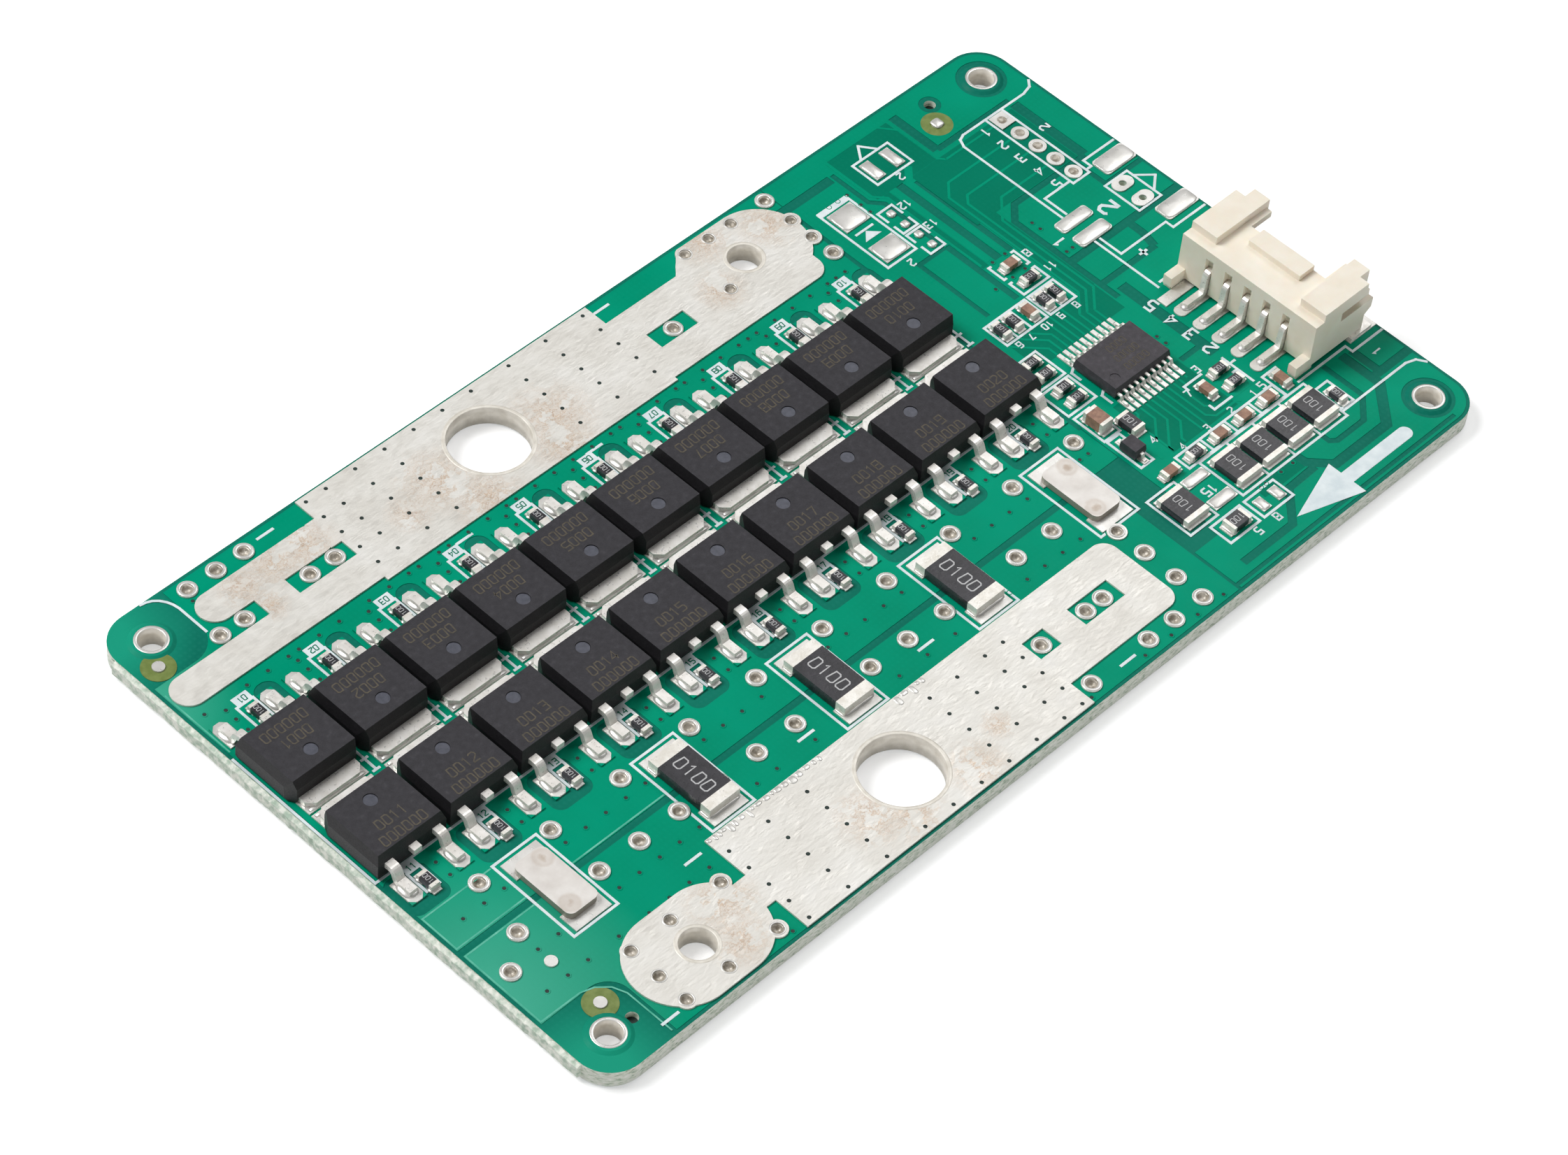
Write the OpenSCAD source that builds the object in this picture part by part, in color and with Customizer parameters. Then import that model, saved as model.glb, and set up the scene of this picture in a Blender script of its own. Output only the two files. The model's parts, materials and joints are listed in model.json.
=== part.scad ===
// Battery management board: a protection board for a battery pack.
// X runs along the board towards the balance connector, Y across it
// towards the P- edge, Z up from the underside. The origin is the centre
// of the four corner holes on the underside. Sizes are in millimetres.

/* [Board] */
// Thickness of the bare laminate
board_t = 1.6; // [0.8:0.2:2.4]
// Radius of the board's corners
board_r = 3; // [1:0.5:4]
// Distance of a corner hole from the short edge
hole_in_x = 3.15; // [2.8:0.05:3.6]
// Distance of a corner hole from the long edge
hole_in_y = 3.25; // [2.8:0.05:3.6]
// Diameter of the corner holes
hole_d = 2.3; // [2:0.1:2.6]
// Thickness of the masked copper areas
pour_t = 0.04; // [0.03:0.01:0.07]
// Thickness of a tinned land with its solder
land_t = 0.12; // [0.05:0.01:0.2]
// Thickness of the white print
print_t = 0.03; // [0.02:0.01:0.04]
// Width of a printed line
print_w = 0.22; // [0.15:0.01:0.3]

/* [Power lands] */
// Length of the wide part of each power land
bus_l = 30.4; // [28:0.2:31]
// Width of the wide part of each power land
bus_w = 10.35; // [9.8:0.05:10.6]
// Distance of the power lands from the long edges
bus_edge = 0.25; // [0.1:0.05:0.5]
// Thickness of the tinned copper of the power lands
bus_t = 0.15; // [0.1:0.01:0.25]
// Diameter of the large hole in each power land
bus_hole_d = 6.9; // [6:0.1:7.4]
// Gap between a hole's edge and the tin or copper round it
hole_rim = 0.2; // [0.18:0.01:0.3]
// Distance of the large holes from the long edges
bus_hole_in = 5.45; // [5:0.05:5.8]
// Diameter of the wire hole in each end lobe
lobe_hole_d = 3; // [2:0.1:3.6]
// Length of an end lobe
lobe_l = 12; // [11:0.1:12.6]
// Width of an end lobe
lobe_w = 8.4; // [7.6:0.1:8.6]
// Diameter of the ring round a stitching hole
eyelet_d = 1.62; // [1.4:0.02:1.8]
// Diameter of a stitching hole
eyelet_hole_d = 1; // [0.7:0.05:1.2]

/* [Power transistors] */
// Number of transistors in each of the two rows
mos_count = 10; // [8:1:10]
// Gap between neighbours in a row
mos_gap = 0.4; // [0.3:0.05:0.6]
// Gap between the tabs of the two rows
tab_gap = 0.5; // [0.3:0.05:1]
// Distance of the first transistor from the short edge
row_in = 0.35; // [0.3:0.05:1]
// Gap between the lead tips and the P- land
p_gap = 2.45; // [2.3:0.05:3]
// Gap between the lead tips and the shunts
shunt_gap = 3.05; // [2.9:0.05:3.5]
// Gap between the shunts and the B- land
b_gap = 1.2; // [1.1:0.05:1.6]
// Width of a transistor body
mos_w = 6.6; // [6.2:0.05:6.7]
// Length of a transistor body
mos_l = 6.1; // [5.8:0.05:6.2]
// Height of a transistor body
mos_h = 2.3; // [2:0.05:2.6]
// Width of the metal tab
tab_w = 5.35; // [5:0.05:5.6]
// Length of the tab that shows beyond the body
tab_out = 1.2; // [0.9:0.05:1.3]
// Thickness of the tab and of the leads
lead_t = 0.5; // [0.4:0.05:0.6]
// Width of a lead
lead_w = 0.75; // [0.6:0.05:0.9]
// Distance between the two outer leads
lead_gap = 4.57; // [4.4:0.01:4.8]
// Length of a lead beyond the body
lead_out = 2.6; // [2.3:0.05:2.8]

/* [Balance connector] */
// Number of contacts
pin_count = 5; // [3:1:5]
// Distance between neighbouring contacts
pin_pitch = 2; // [1.9:0.05:2.05]
// Housing beyond the outer contacts, both ends together
conn_ends = 5.9; // [5.7:0.1:6.3]
// Depth of the housing along X
conn_d = 7.45; // [7.2:0.05:7.6]
// Height of the raised ends above the board
conn_h = 5.45; // [5.2:0.05:6]
// Height of the roof between the raised ends
roof_h = 4.7; // [4.4:0.05:4.8]
// Distance of the housing's mouth from the short edge
conn_in = 0.55; // [0.4:0.05:1]
// Thickness of the housing's walls
conn_wall = 0.8; // [0.6:0.05:0.9]
// Thickness of a square contact
pin_t = 0.5; // [0.4:0.05:0.6]

/* [Controller] */
// Length of the controller body
ic_l = 6.5; // [6.3:0.1:6.7]
// Width of the controller body
ic_w = 4.4; // [4.2:0.05:4.5]
// Height of the controller above its lands
ic_h = 1.1; // [0.9:0.05:1.2]
// Leads on each side
ic_leads = 10; // [8:1:10]
// Distance between neighbouring leads
ic_pitch = 0.65; // [0.6:0.01:0.66]

/* [Small parts] */
// Length of a small chip part
chip_l = 1.6; // [1.4:0.05:1.7]
// Width of a small chip part
chip_w = 0.8; // [0.6:0.05:0.9]
// Height of a small chip part
chip_h = 0.5; // [0.35:0.05:0.6]
// Length of a balance resistor
bal_l = 3.2; // [3:0.05:3.3]
// Width of a balance resistor
bal_w = 2.5; // [2.3:0.05:2.6]
// Height of a balance resistor
bal_h = 0.6; // [0.5:0.05:0.7]
// Length of a current shunt
shunt_l = 6.3; // [6:0.05:6.5]
// Width of a current shunt
shunt_w = 3.1; // [2.8:0.05:3.3]
// Height of a current shunt
shunt_h = 0.9; // [0.6:0.05:1.1]

/* [Hidden] */
function two(i) = i < 10 ? str("0", i) : str(i);
mos_total = 2 * mos_count;
$fn = 48;
e = 0.01;

// The board is as long as the transistor rows and the control zone, and
// as wide as the two power lands and what lies between them
mos_pitch = mos_w + mos_gap;
row_l = mos_count * mos_pitch - mos_gap;
zone_gap = 0.05;
conn_from_zone = 18;
board_l = row_in + row_l + zone_gap + conn_from_zone + conn_d + conn_in;
mos_row_gap = mos_l + 2 * tab_out + tab_gap;
board_w = 2 * (bus_edge + bus_w) + p_gap + mos_l + mos_row_gap
    + 2 * lead_out + shunt_gap + shunt_l + b_gap;

// Edges of the board and the heights of its layers
left = -board_l / 2;
right = board_l / 2;
p_edge = board_w / 2;
b_edge = -board_w / 2;
mask_z = board_t + pour_t;
land_z = mask_z + land_t;

// Power lands: the middle of the wide part lies 35.1 from the left edge
bus_x = left + 35.1;
bus_x0 = bus_x - bus_l / 2;
bus_x1 = bus_x + bus_l / 2;
p_in = p_edge - bus_edge - bus_w;
b_in = b_edge + bus_edge + bus_w;
p_lobe = [bus_x1 + 13.25, p_edge - bus_edge - lobe_w / 2 - 0.3];
b_lobe = [bus_x0 - 6.8, b_edge + bus_edge + lobe_w / 2];
big_holes = [[bus_x, p_edge - bus_hole_in], [bus_x, b_edge + bus_hole_in]];
corners = [for (sx = [-1, 1], sy = [-1, 1])
    [sx * (right - hole_in_x), sy * (p_edge - hole_in_y)]];

// Transistor rows
mos_x = left + row_in + mos_w / 2;
row_a = p_in - p_gap - lead_out - mos_l / 2;
row_b = row_a - mos_row_gap;
tips_a = row_a + mos_l / 2 + lead_out;
tips_b = row_b - mos_l / 2 - lead_out;

// The control zone, between the transistor rows and the short edge
zone = left + row_in + row_l + zone_gap;
conn_y = -8.7;
conn_w = (pin_count - 1) * pin_pitch + conn_ends;
conn_x = zone + conn_from_zone;
pins = [for (i = [0 : pin_count - 1])
    conn_y + (pin_count - 1) * pin_pitch / 2 - i * pin_pitch];
ic_at = [zone + 7.35, -5.4];

// Shunt places in a row between the lower pours
shunt_y = tips_b - shunt_gap - shunt_l / 2;
shunt_xs = [for (x = [9.35, 23.15, 37.15, 51.35, 64.95]) left + x];
jumper_w = 3;
jumper_l = shunt_l - 0.3;
jumper_t = 0.6;

// Chips in the control zone: [x from the zone's edge, y, angle, size]
small = [chip_l, chip_w, chip_h];
medium = [chip_l + 0.4, chip_w + 0.45, chip_h + 0.1];
tall = [chip_l + 0.4, chip_w + 0.45, chip_h + 0.5];
zone_resistors = [
    [8.75, 5.7, 0, small], [2.8, 3.25, 90, small], [4.2, 3.25, 90, small],
    [7.8, 3.25, 90, small], [9.1, 3.25, 90, small], [1.9, -0.8, 0, small],
    [1.9, -2.25, 0, small], [1.9, -4.2, 0, small], [1.9, -5.6, 0, small],
    [2.96, -10.23, 90, medium], [4.5, -15.65, 0, small],
    [12.5, -11.05, 0, small], [12.5, -12.7, 0, small],
    [17.4, -19.1, 90, small], [1.5, -22.5, 0, medium]];
zone_capacitors = [
    [8.7, 7.74, 0, small], [6.0, 3.25, 90, small], [1.2, -8.4, 90, tall],
    [1.55, -15.65, 0, small], [7.4, -15.65, 0, small],
    [10.25, -15.65, 0, small], [13.1, -15.65, 0, small],
    [15.5, -15.0, 90, small], [10.2, -11.85, 90, small]];
balance_xs = [for (x = [-0.44, 5.8, 8.85, 11.9, 15]) zone + x];
balance_y = -18.7;
diode_at = [zone + 1.1, -12.15];
diode_l = 1.7;
diode_w = 1.2;
diode_h = 0.95;

// Gate resistor of each transistor, from the transistor's centre
gate_a = [0.65, tips_a - 0.7 - row_a];
gate_b = [-0.8, tips_b + 0.1 - row_b];

// Stitching holes along the lower pours and round the power lands
stitch_upper = [for (x = [5.5, 12.52, 19.5, 26.52, 33.48, 40.5, 47.46, 54.46,
    61.44, 68.42]) [left + x, shunt_y + 3.84]];
stitch_lower = [for (x = [4.5, 12.52, 16.5, 20.5, 24.5, 28.5, 32.5, 40.5,
    44.48, 48.5, 56.44, 60.44]) [left + x, shunt_y - 1.16]];
stitch_p = [for (p = [[8.3, -1.32], [11.1, -1.32], [13.85, -1.32],
    [7.17, -6.3], [9.53, -6.3], [16, -6.3], [18.5, -6.3], [53.9, -6.45]])
    [left + p[0], p_edge + p[1]]];
stitch_b = [for (p = [[1.77, 11.63], [64.08, 10.37], [64.08, 7.55],
    [64.04, 4.31], [64.04, 1.62], [51.5, 1.62], [57.85, 1.62], [60.8, 1.62],
    [51.46, 6.65], [56.4, 6.65], [58.3, 6.65]])
    [left + p[0], b_edge + p[1]]];
p_lobe_eyelets = [[-3.27, 3.4], [-0.65, 3.4], [1.85, 3.4], [-3.27, -1.7],
    [5.75, 0.46], [5.67, -1.96]];
p_lobe_free = [[5.75, 3.43], [5.75, -4.28]];
b_lobe_eyelets = [[-3.93, 2.74], [0.03, 2.8], [5.03, 2.74], [-3.98, -0.14],
    [-3.98, -2.87], [0.2, -2.9], [5.1, -2.87]];
p_eyelets = [for (p = p_lobe_eyelets) p_lobe + p];
b_eyelets = [for (p = b_lobe_eyelets) b_lobe + p];
eyelets = concat(stitch_upper, stitch_lower, stitch_p, stitch_b,
    [for (p = p_lobe_free) p_lobe + p]);

// Plated and plain holes outside the lands
header_at = [zone + 20.5, 19.5];
header_pitch = 1.98;
header_pins = 5;
header_pad_d = 1.5;
header_hole_d = 0.85;
oval_pads = [[zone + 22.5, 7.99], [zone + 22.5, 5.8]];
oval_hole_d = 0.65;
plain_holes = [[right - 8.55, p_edge - 2.49], [left + 5.33, b_edge + 3.15]];

// ---------- shapes that repeat ----------

module dots(places, d) {
    for (p = places)
        translate(p)
            circle(d = d);
}

// A flat patch between two opposite corners
module patch(x0, y0, x1, y1) {
    translate([min(x0, x1), min(y0, y1)])
        square([abs(x1 - x0), abs(y1 - y0)]);
}

// A patch with round corners; (x0, y0) is its low corner
module soft_patch(x0, y0, x1, y1, r) {
    patch(x0 + r, y0, x1 - r, y1);
    patch(x0, y0 + r, x1, y1 - r);
    dots([for (x = [x0 + r, x1 - r], y = [y0 + r, y1 - r]) [x, y]], 2 * r);
}

// A slot shape between two points on a line along X or Y
module stadium(l, w) {
    square([l - w, w], center = true);
    dots([[-(l - w) / 2, 0], [(l - w) / 2, 0]], w);
}

// A straight printed line of the usual width, with square ends
module line(a, b, w = print_w) {
    d = b - a;
    translate(a)
        rotate(atan2(d[1], d[0]))
            translate([-w / 2, -w / 2])
                square([norm(d) + w, w]);
}

module lines(path) {
    for (i = [0 : len(path) - 2])
        line(path[i], path[i + 1]);
}

module frame_lines(x0, y0, x1, y1) {
    lines([[x0, y0], [x1, y0], [x1, y1], [x0, y1], [x0, y0]]);
}

// A path with its inner corners turned into arcs of radius r
function unit(v) = v / norm(v);
function bend(a, b, c, r, n) =
    let (u = unit(a - b), v = unit(c - b),
         half = acos(u * v) / 2,
         run = r / tan(half),
         centre = b + unit(u + v) * r / sin(half),
         from = b + u * run - centre,
         to = b + v * run - centre,
         a0 = atan2(from[1], from[0]),
         turn = atan2(to[1], to[0]) - a0,
         sweep = turn > 180 ? turn - 360 : turn < -180 ? turn + 360 : turn)
    [for (i = [0 : n]) centre + r * [cos(a0 + sweep * i / n), sin(a0 + sweep * i / n)]];
function bent_path(p, r, n = 4) = concat([p[0]],
    [for (i = [1 : len(p) - 2]) each bend(p[i - 1], p[i], p[i + 1], r, n)],
    [p[len(p) - 1]]);

// The outline of a strip of even thickness along a path
function side_of(p, i) =
    let (d0 = i > 0 ? unit(p[i] - p[i - 1]) : unit(p[1] - p[0]),
         d1 = i < len(p) - 1 ? unit(p[i + 1] - p[i]) : d0,
         m = unit(d0 + d1))
    [-m[1], m[0]] / (m * d1);
function strip(p, t) = concat(
    [for (i = [0 : len(p) - 1]) p[i] + side_of(p, i) * t / 2],
    [for (i = [len(p) - 1 : -1 : 0]) p[i] - side_of(p, i) * t / 2]);

// A profile drawn in Y and Z, extruded along X about the middle
module across_x(w) {
    rotate([90, 0, 90])
        translate([0, 0, -w / 2])
            linear_extrude(w)
                children();
}

// ---------- board ----------

module board_outline() {
    soft_patch(left, b_edge, right, p_edge, board_r);
}

module circuit_board() {
    color([0.06, 0.36, 0.32])
        linear_extrude(board_t)
            difference() {
                board_outline();
                dots(corners, hole_d);
                dots(big_holes, bus_hole_d);
                dots([p_lobe, b_lobe], lobe_hole_d);
                dots(concat(eyelets, p_eyelets, b_eyelets), eyelet_hole_d);
                header_row(header_hole_d);
                dots(oval_pads, oval_hole_d);
                dots(plain_holes, 1);
            }
}

module header_row(d) {
    dots([for (i = [0 : header_pins - 1])
        header_at - [0, i * header_pitch]], d);
}

// Copper-free patch beside each gate resistor, from the transistor's centre
module gate_gaps() {
    for (i = [0 : mos_count - 1]) {
        translate([mos_x + i * mos_pitch, row_a])
            soft_patch(1.5, 2.6, 3.6, 7.1, 1);
        translate([mos_x + i * mos_pitch, row_b])
            soft_patch(-3.6, -7.4, 0.2, -3.4, 0.9);
    }
}

pour_right = zone - 0.1;
pour_in = 0.3;
corner_gap_d = 4.3;
moat = shunt_y + 0.25;
module pour_outline() {
    difference() {
        intersection() {
            soft_patch(left + pour_in, b_edge + pour_in, right - pour_in,
                p_edge - pour_in, board_r - pour_in);
            union() {
                // from the P- edge down to the moat between the lower pours
                patch(left, moat + 0.3, pour_right, p_edge);
                patch(left, b_edge, pour_right - 3.2, moat - 0.3);
                patch(zone, b_edge + 5, right, p_edge);
                patch(pour_right - 2.9, b_edge, right, b_edge + 5);
            }
        }
        gate_gaps();
        translate([zone, 0])
            zone_gaps();
        soft_patch(left - 3, p_edge - 6.9, left + 6.8, p_edge + 3, 2.5);
        soft_patch(left - 3, b_edge - 3, left + 6.9, b_edge + 7, 2);
        dots(corners, corner_gap_d);
        dots(big_holes, bus_hole_d + 2 * hole_rim);
        dots([p_lobe, b_lobe], lobe_hole_d + 2 * hole_rim);
        dots(concat(eyelets, p_eyelets, b_eyelets), eyelet_hole_d);
        header_row(header_hole_d);
        dots(oval_pads, oval_hole_d);
        dots(plain_holes, plain_gap_d);
    }
}

// Gaps between the copper areas of the control zone: [width, path]
plain_gap_d = 1.9;
module zone_gaps() {
    for (g = [
        [0.9, [[10.3, -20.9], [10.4, -21.9], [12, -23.6], [18.2, -23.6],
            [21.2, -20.4], [21.2, -16.4]]],
        [0.5, [[13.5, -20.9], [13.5, -21.7], [14, -22.1], [17.2, -22.1],
            [19.2, -20.3], [19.2, -16.2]]],
        [0.7, [[-1, -25.4], [4.8, -25.4], [7.4, -22.8], [10.6, -22.7]]],
        [0.35, [[-3, -26.55], [23, -26.55]]],
        [0.8, [[21.4, -19.6], [27, -19.6]]],
        [0.8, [[22.2, -19.6], [22.2, -16.6]]],
        [1.1, [[13.9, -9.5], [13.9, 0.4]]],
        [0.5, [[11.3, -8.2], [14, -8.2]]],
        [1, [[22.7, 12.4], [22.7, 20.2]]],
        [0.6, [[12.75, 4.9], [12.75, 10.9], [14.2, 12.3], [22.7, 12.3]]],
        [0.8, [[12.75, 4.85], [27, 4.85]]],
        [0.6, [[12.75, -0.3], [12.75, 4.9]]],
        [0.6, [[12.75, 1.55], [19.3, 1.55]]],
        [0.8, [[19.6, 4.8], [19.6, 3.2], [19.2, 1.6]]],
        [0.5, [[27, 8.9], [21.5, 8.9], [21.5, 12.1]]],
        [0.9, [[-1, 24.1], [5.1, 24.1]]],
        [0.45, [[5.5, 24.4], [5.5, 20.3], [6.4, 19.3], [6.4, 13]]],
        [0.9, [[14.05, 25.8], [14.05, 20.75]]],
        [0.6, [[14.1, 20.75], [22.7, 20.75]]],
        [0.8, [[8.78, 9], [8.78, 20]]],
        [0.6, [[10.2, 9], [10.2, 19.4]]],
        [0.45, [[3.45, 5.2], [3.45, 12.7], [6.4, 12.7]]],
        [0.6, [[6.6, 5], [6.6, 12.7]]],
        [0.4, [[-0.1, -7.9], [-0.1, 24]]]])
        polygon(strip(g[1], g[0]));
}

module copper_pours() {
    color([0.02, 0.6, 0.46])
        translate([0, 0, board_t])
            linear_extrude(pour_t)
                pour_outline();
}

// ---------- tinned lands ----------

module p_land_outline() {
    difference() {
        union() {
            patch(bus_x0, p_in, bus_x1, p_edge - bus_edge);
            // lower and upper finger, and the bridge between them
            translate([left + 10.5, p_in + 1.9])
                stadium(19.9, 3);
            translate([bus_x0 - 6.35, p_in + 6.65])
                stadium(12.7, 3);
            patch(bus_x0 - 8.7, p_in + 1, bus_x0 - 5.7, p_in + 6.5);
            patch(bus_x0 - 1, p_in + 0.4, bus_x0 + 1, p_in + 3.4);
            patch(bus_x0 - 1, p_in + 5.15, bus_x0 + 1, p_in + 8.15);
            // tongue with the end lobe
            patch(bus_x1 - 1, p_in + 0.35, p_lobe[0] + 2.9, p_in + 8);
            soft_patch(p_lobe[0], p_in + 0.35, p_lobe[0] + 4.25, p_in + 6, 1.4);
            translate(p_lobe)
                stadium(lobe_l, lobe_w);
            translate(p_lobe)
                polygon([[-5.6, 2.1], [-3.5, lobe_w / 2], [0, lobe_w / 2], [0, 0]]);
            dots(p_eyelets, eyelet_d);
        }
        patch(bus_x1 + 1.5, p_in + 3.25, bus_x1 + 5.5, p_in + 5.05);
        dots([big_holes[0]], bus_hole_d + 2 * hole_rim);
        dots([p_lobe], lobe_hole_d + 2 * hole_rim);
        dots(p_eyelets, eyelet_hole_d);
    }
}

module b_land_outline() {
    difference() {
        union() {
            patch(bus_x0, b_in, bus_x1, b_edge + bus_edge);
            patch(b_lobe[0], b_edge + 3.45, bus_x0 + 1, b_edge + 6.45);
            patch(bus_x1 - 1, b_in, bus_x1 + 9, b_edge + 2.65);
            soft_patch(bus_x1 + 6, b_edge + 2.65, bus_x1 + 12.5, b_in, 1.3);
            translate(b_lobe)
                stadium(lobe_l, lobe_w);
            dots(b_eyelets, eyelet_d);
        }
        patch(bus_x1 + 0.1, b_edge + 5.7, bus_x1 + 2.4, b_edge + 7.7);
        patch(bus_x1 + 5.1, b_edge + 5.7, bus_x1 + 9.5, b_edge + 7.7);
        dots([big_holes[1]], bus_hole_d + 2 * hole_rim);
        dots([b_lobe], lobe_hole_d + 2 * hole_rim);
        dots(b_eyelets, eyelet_hole_d);
    }
}

module p_minus_land() {
    color([0.86, 0.84, 0.8])
        translate([0, 0, mask_z])
            linear_extrude(bus_t)
                p_land_outline();
}

module b_minus_land() {
    color([0.86, 0.84, 0.8])
        translate([0, 0, mask_z])
            linear_extrude(bus_t)
                b_land_outline();
}

// Two lands under the ends of a chip part of the size now in use
chip_land = 0.9;
module chip_lands(reach = 0.28) {
    for (s = [-1, 1])
        translate([s * ($size[0] / 2 + reach - chip_land / 2), 0])
            square([chip_land, $size[1]], center = true);
}

module each_zone_chip(places) {
    for (p = places)
        translate([zone + p[0], p[1]])
            rotate(p[2]) {
                $size = p[3];
                children();
            }
}

module each_gate_resistor() {
    $size = small;
    for (i = [0 : mos_count - 1]) {
        translate([mos_x + i * mos_pitch + gate_a[0], row_a + gate_a[1]])
            rotate(90)
                children();
        translate([mos_x + i * mos_pitch + gate_b[0], row_b + gate_b[1]])
            rotate(90)
                children();
    }
}

module each_balance_resistor() {
    $size = [bal_l, bal_w, bal_h];
    for (x = balance_xs)
        translate([x, balance_y])
            rotate(90)
                children();
}

module each_shunt(wanted) {
    for (i = wanted)
        translate([shunt_xs[i], shunt_y])
            rotate(90)
                children();
}

module mosfet_lands() {
    square_l = mos_l / 2 + tab_out;
    translate([-tab_w / 2 - 0.2, -square_l - 0.15])
        square([tab_w + 0.4, square_l + 1.5]);
    for (s = [-1, 1])
        translate([s * lead_gap / 2 - 0.7, mos_l / 2 + 0.85])
            square([1.4, 2.4]);
}

module ring(d, hole) {
    difference() {
        circle(d = d);
        circle(d = hole);
    }
}

module rings(places, d, hole) {
    for (p = places)
        translate(p)
            ring(d, hole);
}

conn_land_l = 4.2;
module connector_lands() {
    for (y = pins)
        translate([conn_x - 3.25, y])
            soft_patch(0, -0.57, conn_land_l, 0.57, 0.5);
    // the land of a sixth contact, which this housing leaves bare
    translate([conn_x - 3.25, conn_y + conn_w / 2 - conn_wall])
        patch(0, -1.05, conn_land_l, -0.05);
    for (s = [-1, 1])
        translate([conn_x + 4.7, conn_y + s * (conn_w / 2 - 0.55)])
            patch(0, -1, 3.2, 1);
}

ic_row = ic_w / 2 + 1;
module controller_lands() {
    for (i = [0 : ic_leads - 1], s = [-1, 1])
        translate(ic_at + [(i - (ic_leads - 1) / 2) * ic_pitch, s * ic_row])
            square([0.38, 1.6], center = true);
}

module lands_outline() {
    each_zone_chip(zone_resistors)
        chip_lands();
    each_zone_chip(zone_capacitors)
        chip_lands();
    each_gate_resistor()
        chip_lands();
    each_balance_resistor()
        chip_lands();
    each_shunt([0 : len(shunt_xs) - 1])
        shunt_lands();
    for (i = [0 : mos_count - 1]) {
        translate([mos_x + i * mos_pitch, row_a])
            mosfet_lands();
        translate([mos_x + i * mos_pitch, row_b])
            rotate(180)
                mosfet_lands();
    }
    connector_lands();
    controller_lands();
    diode_lands();
    rings(corners, hole_d + 2 * hole_rim + 0.4, hole_d + 2 * hole_rim);
    rings(eyelets, eyelet_d, eyelet_hole_d);
    rings([for (i = [0 : header_pins - 1])
        header_at - [0, i * header_pitch]],
        header_pad_d, header_hole_d);
    for (p = oval_pads)
        translate(p)
            difference() {
                stadium(2.1, 1.35);
                circle(d = oval_hole_d);
            }
    spare_lands();
}

module solder_lands() {
    color([0.84, 0.84, 0.82])
        translate([0, 0, mask_z])
            linear_extrude(land_t)
                lands_outline();
}

module shunt_lands() {
    for (s = [-1, 1])
        translate([s * (shunt_l / 2 - 0.1), 0])
            square([1.7, shunt_w + 0.4], center = true);
}

module diode_lands() {
    for (s = [-1, 1])
        translate(diode_at + [0, s * (diode_l / 2 + 0.3)])
            square([0.6, 0.8], center = true);
}

// Lands of parts that this board leaves out
module spare_lands() {
    translate([zone, 0]) {
        patch(1.65, 14.5, 4.35, 16.65);
        patch(1.65, 18.96, 4.35, 21.28);
        patch(7.8, 21.5, 8.84, 23.6);
        patch(10.1, 21.5, 11.1, 23.6);
        dots([for (y = [13.6, 15.06, 16.58, 18.12]) [5.87, y]], 0.75);
        soft_patch(14.64, 5.2, 18.27, 6.54, 0.3);
        soft_patch(14.64, 7.25, 18.27, 8.51, 0.3);
        soft_patch(22.3, 9.4, 25.9, 11.3, 0.3);
        soft_patch(22.2, 2.6, 25.9, 4.37, 0.3);
        patch(1.4, -17.8, 3.9, -16.8);
        patch(1.4, -20.6, 3.9, -19.5);
        patch(4.05, -23.15, 4.95, -21.85);
        patch(5.82, -23.15, 6.72, -21.85);
    }
    dots([[left + 1.87, p_edge - 5.5], [left + 4.56, b_edge + 5.52],
        [left + 4.5, b_edge + 10.4], [right - 9.76, p_edge - 4.44]], 1);
}

// ---------- print ----------

arrow_head = 6;
arrow_tail = 7.6;
module arrow() {
    polygon([[0, 0], [arrow_head, 1.9], [arrow_head, -1.9]]);
    patch(arrow_head - e, -0.63, arrow_head + arrow_tail - 0.63, 0.63);
    dots([[arrow_head + arrow_tail - 0.63, 0]], 1.26);
}

module gate_print() {
    for (i = [0 : mos_count - 1]) {
        translate([mos_x + i * mos_pitch + gate_a[0], row_a + gate_a[1]]) {
            lines([[-0.83, -0.6], [-0.83, 1.5], [0.77, 1.5], [0.77, -0.6]]);
            patch(-0.67, 1.55, 0.8, 2.4);
        }
        translate([mos_x + i * mos_pitch + gate_b[0], row_b + gate_b[1]]) {
            lines([[-0.56, -0.5], [-0.56, 1.56], [0.66, 1.56], [0.66, -0.5]]);
            patch(-0.6, 1.6, 0.75, 2.4);
        }
    }
}

// Crosses between the tabs, and the line round the transistor rows
module row_print() {
    mid = (row_a + row_b) / 2;
    for (i = [0 : mos_count - 1])
        translate([mos_x + (i + 0.5) * mos_pitch, mid]) {
            line([0, 0], [0, 2.2]);
            line([-0.25, 1.3], [0.25, 1.3]);
            line([-0.25, 0], [0.25, 0]);
        }
    low = row_b - mos_l / 2;
    lines([[left + 0.12, row_a + mos_l / 2], [left + 0.12, low],
        [zone - 1.2, low]]);
}

module print_outline() {
    gate_print();
    row_print();
    // one frame round each shunt place
    for (x = shunt_xs)
        translate([x, shunt_y])
            frame_lines(-2.15, -4.1, 2.15, 4.3);
    polarity_bars();
    translate([zone + 5.6, b_edge + 2.1])
        arrow();
    translate([zone, 0])
        zone_print();
    // outline round the connector
    for (s = [-1, 1])
        translate([conn_x, conn_y])
            lines([[-1.5, s * (conn_w / 2 + 0.35)],
                [4.2, s * (conn_w / 2 + 0.35)],
                [4.2, s * (conn_w / 2 + 1.1)],
                [conn_d + 0.3, s * (conn_w / 2 + 1.1)]]);
}

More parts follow.
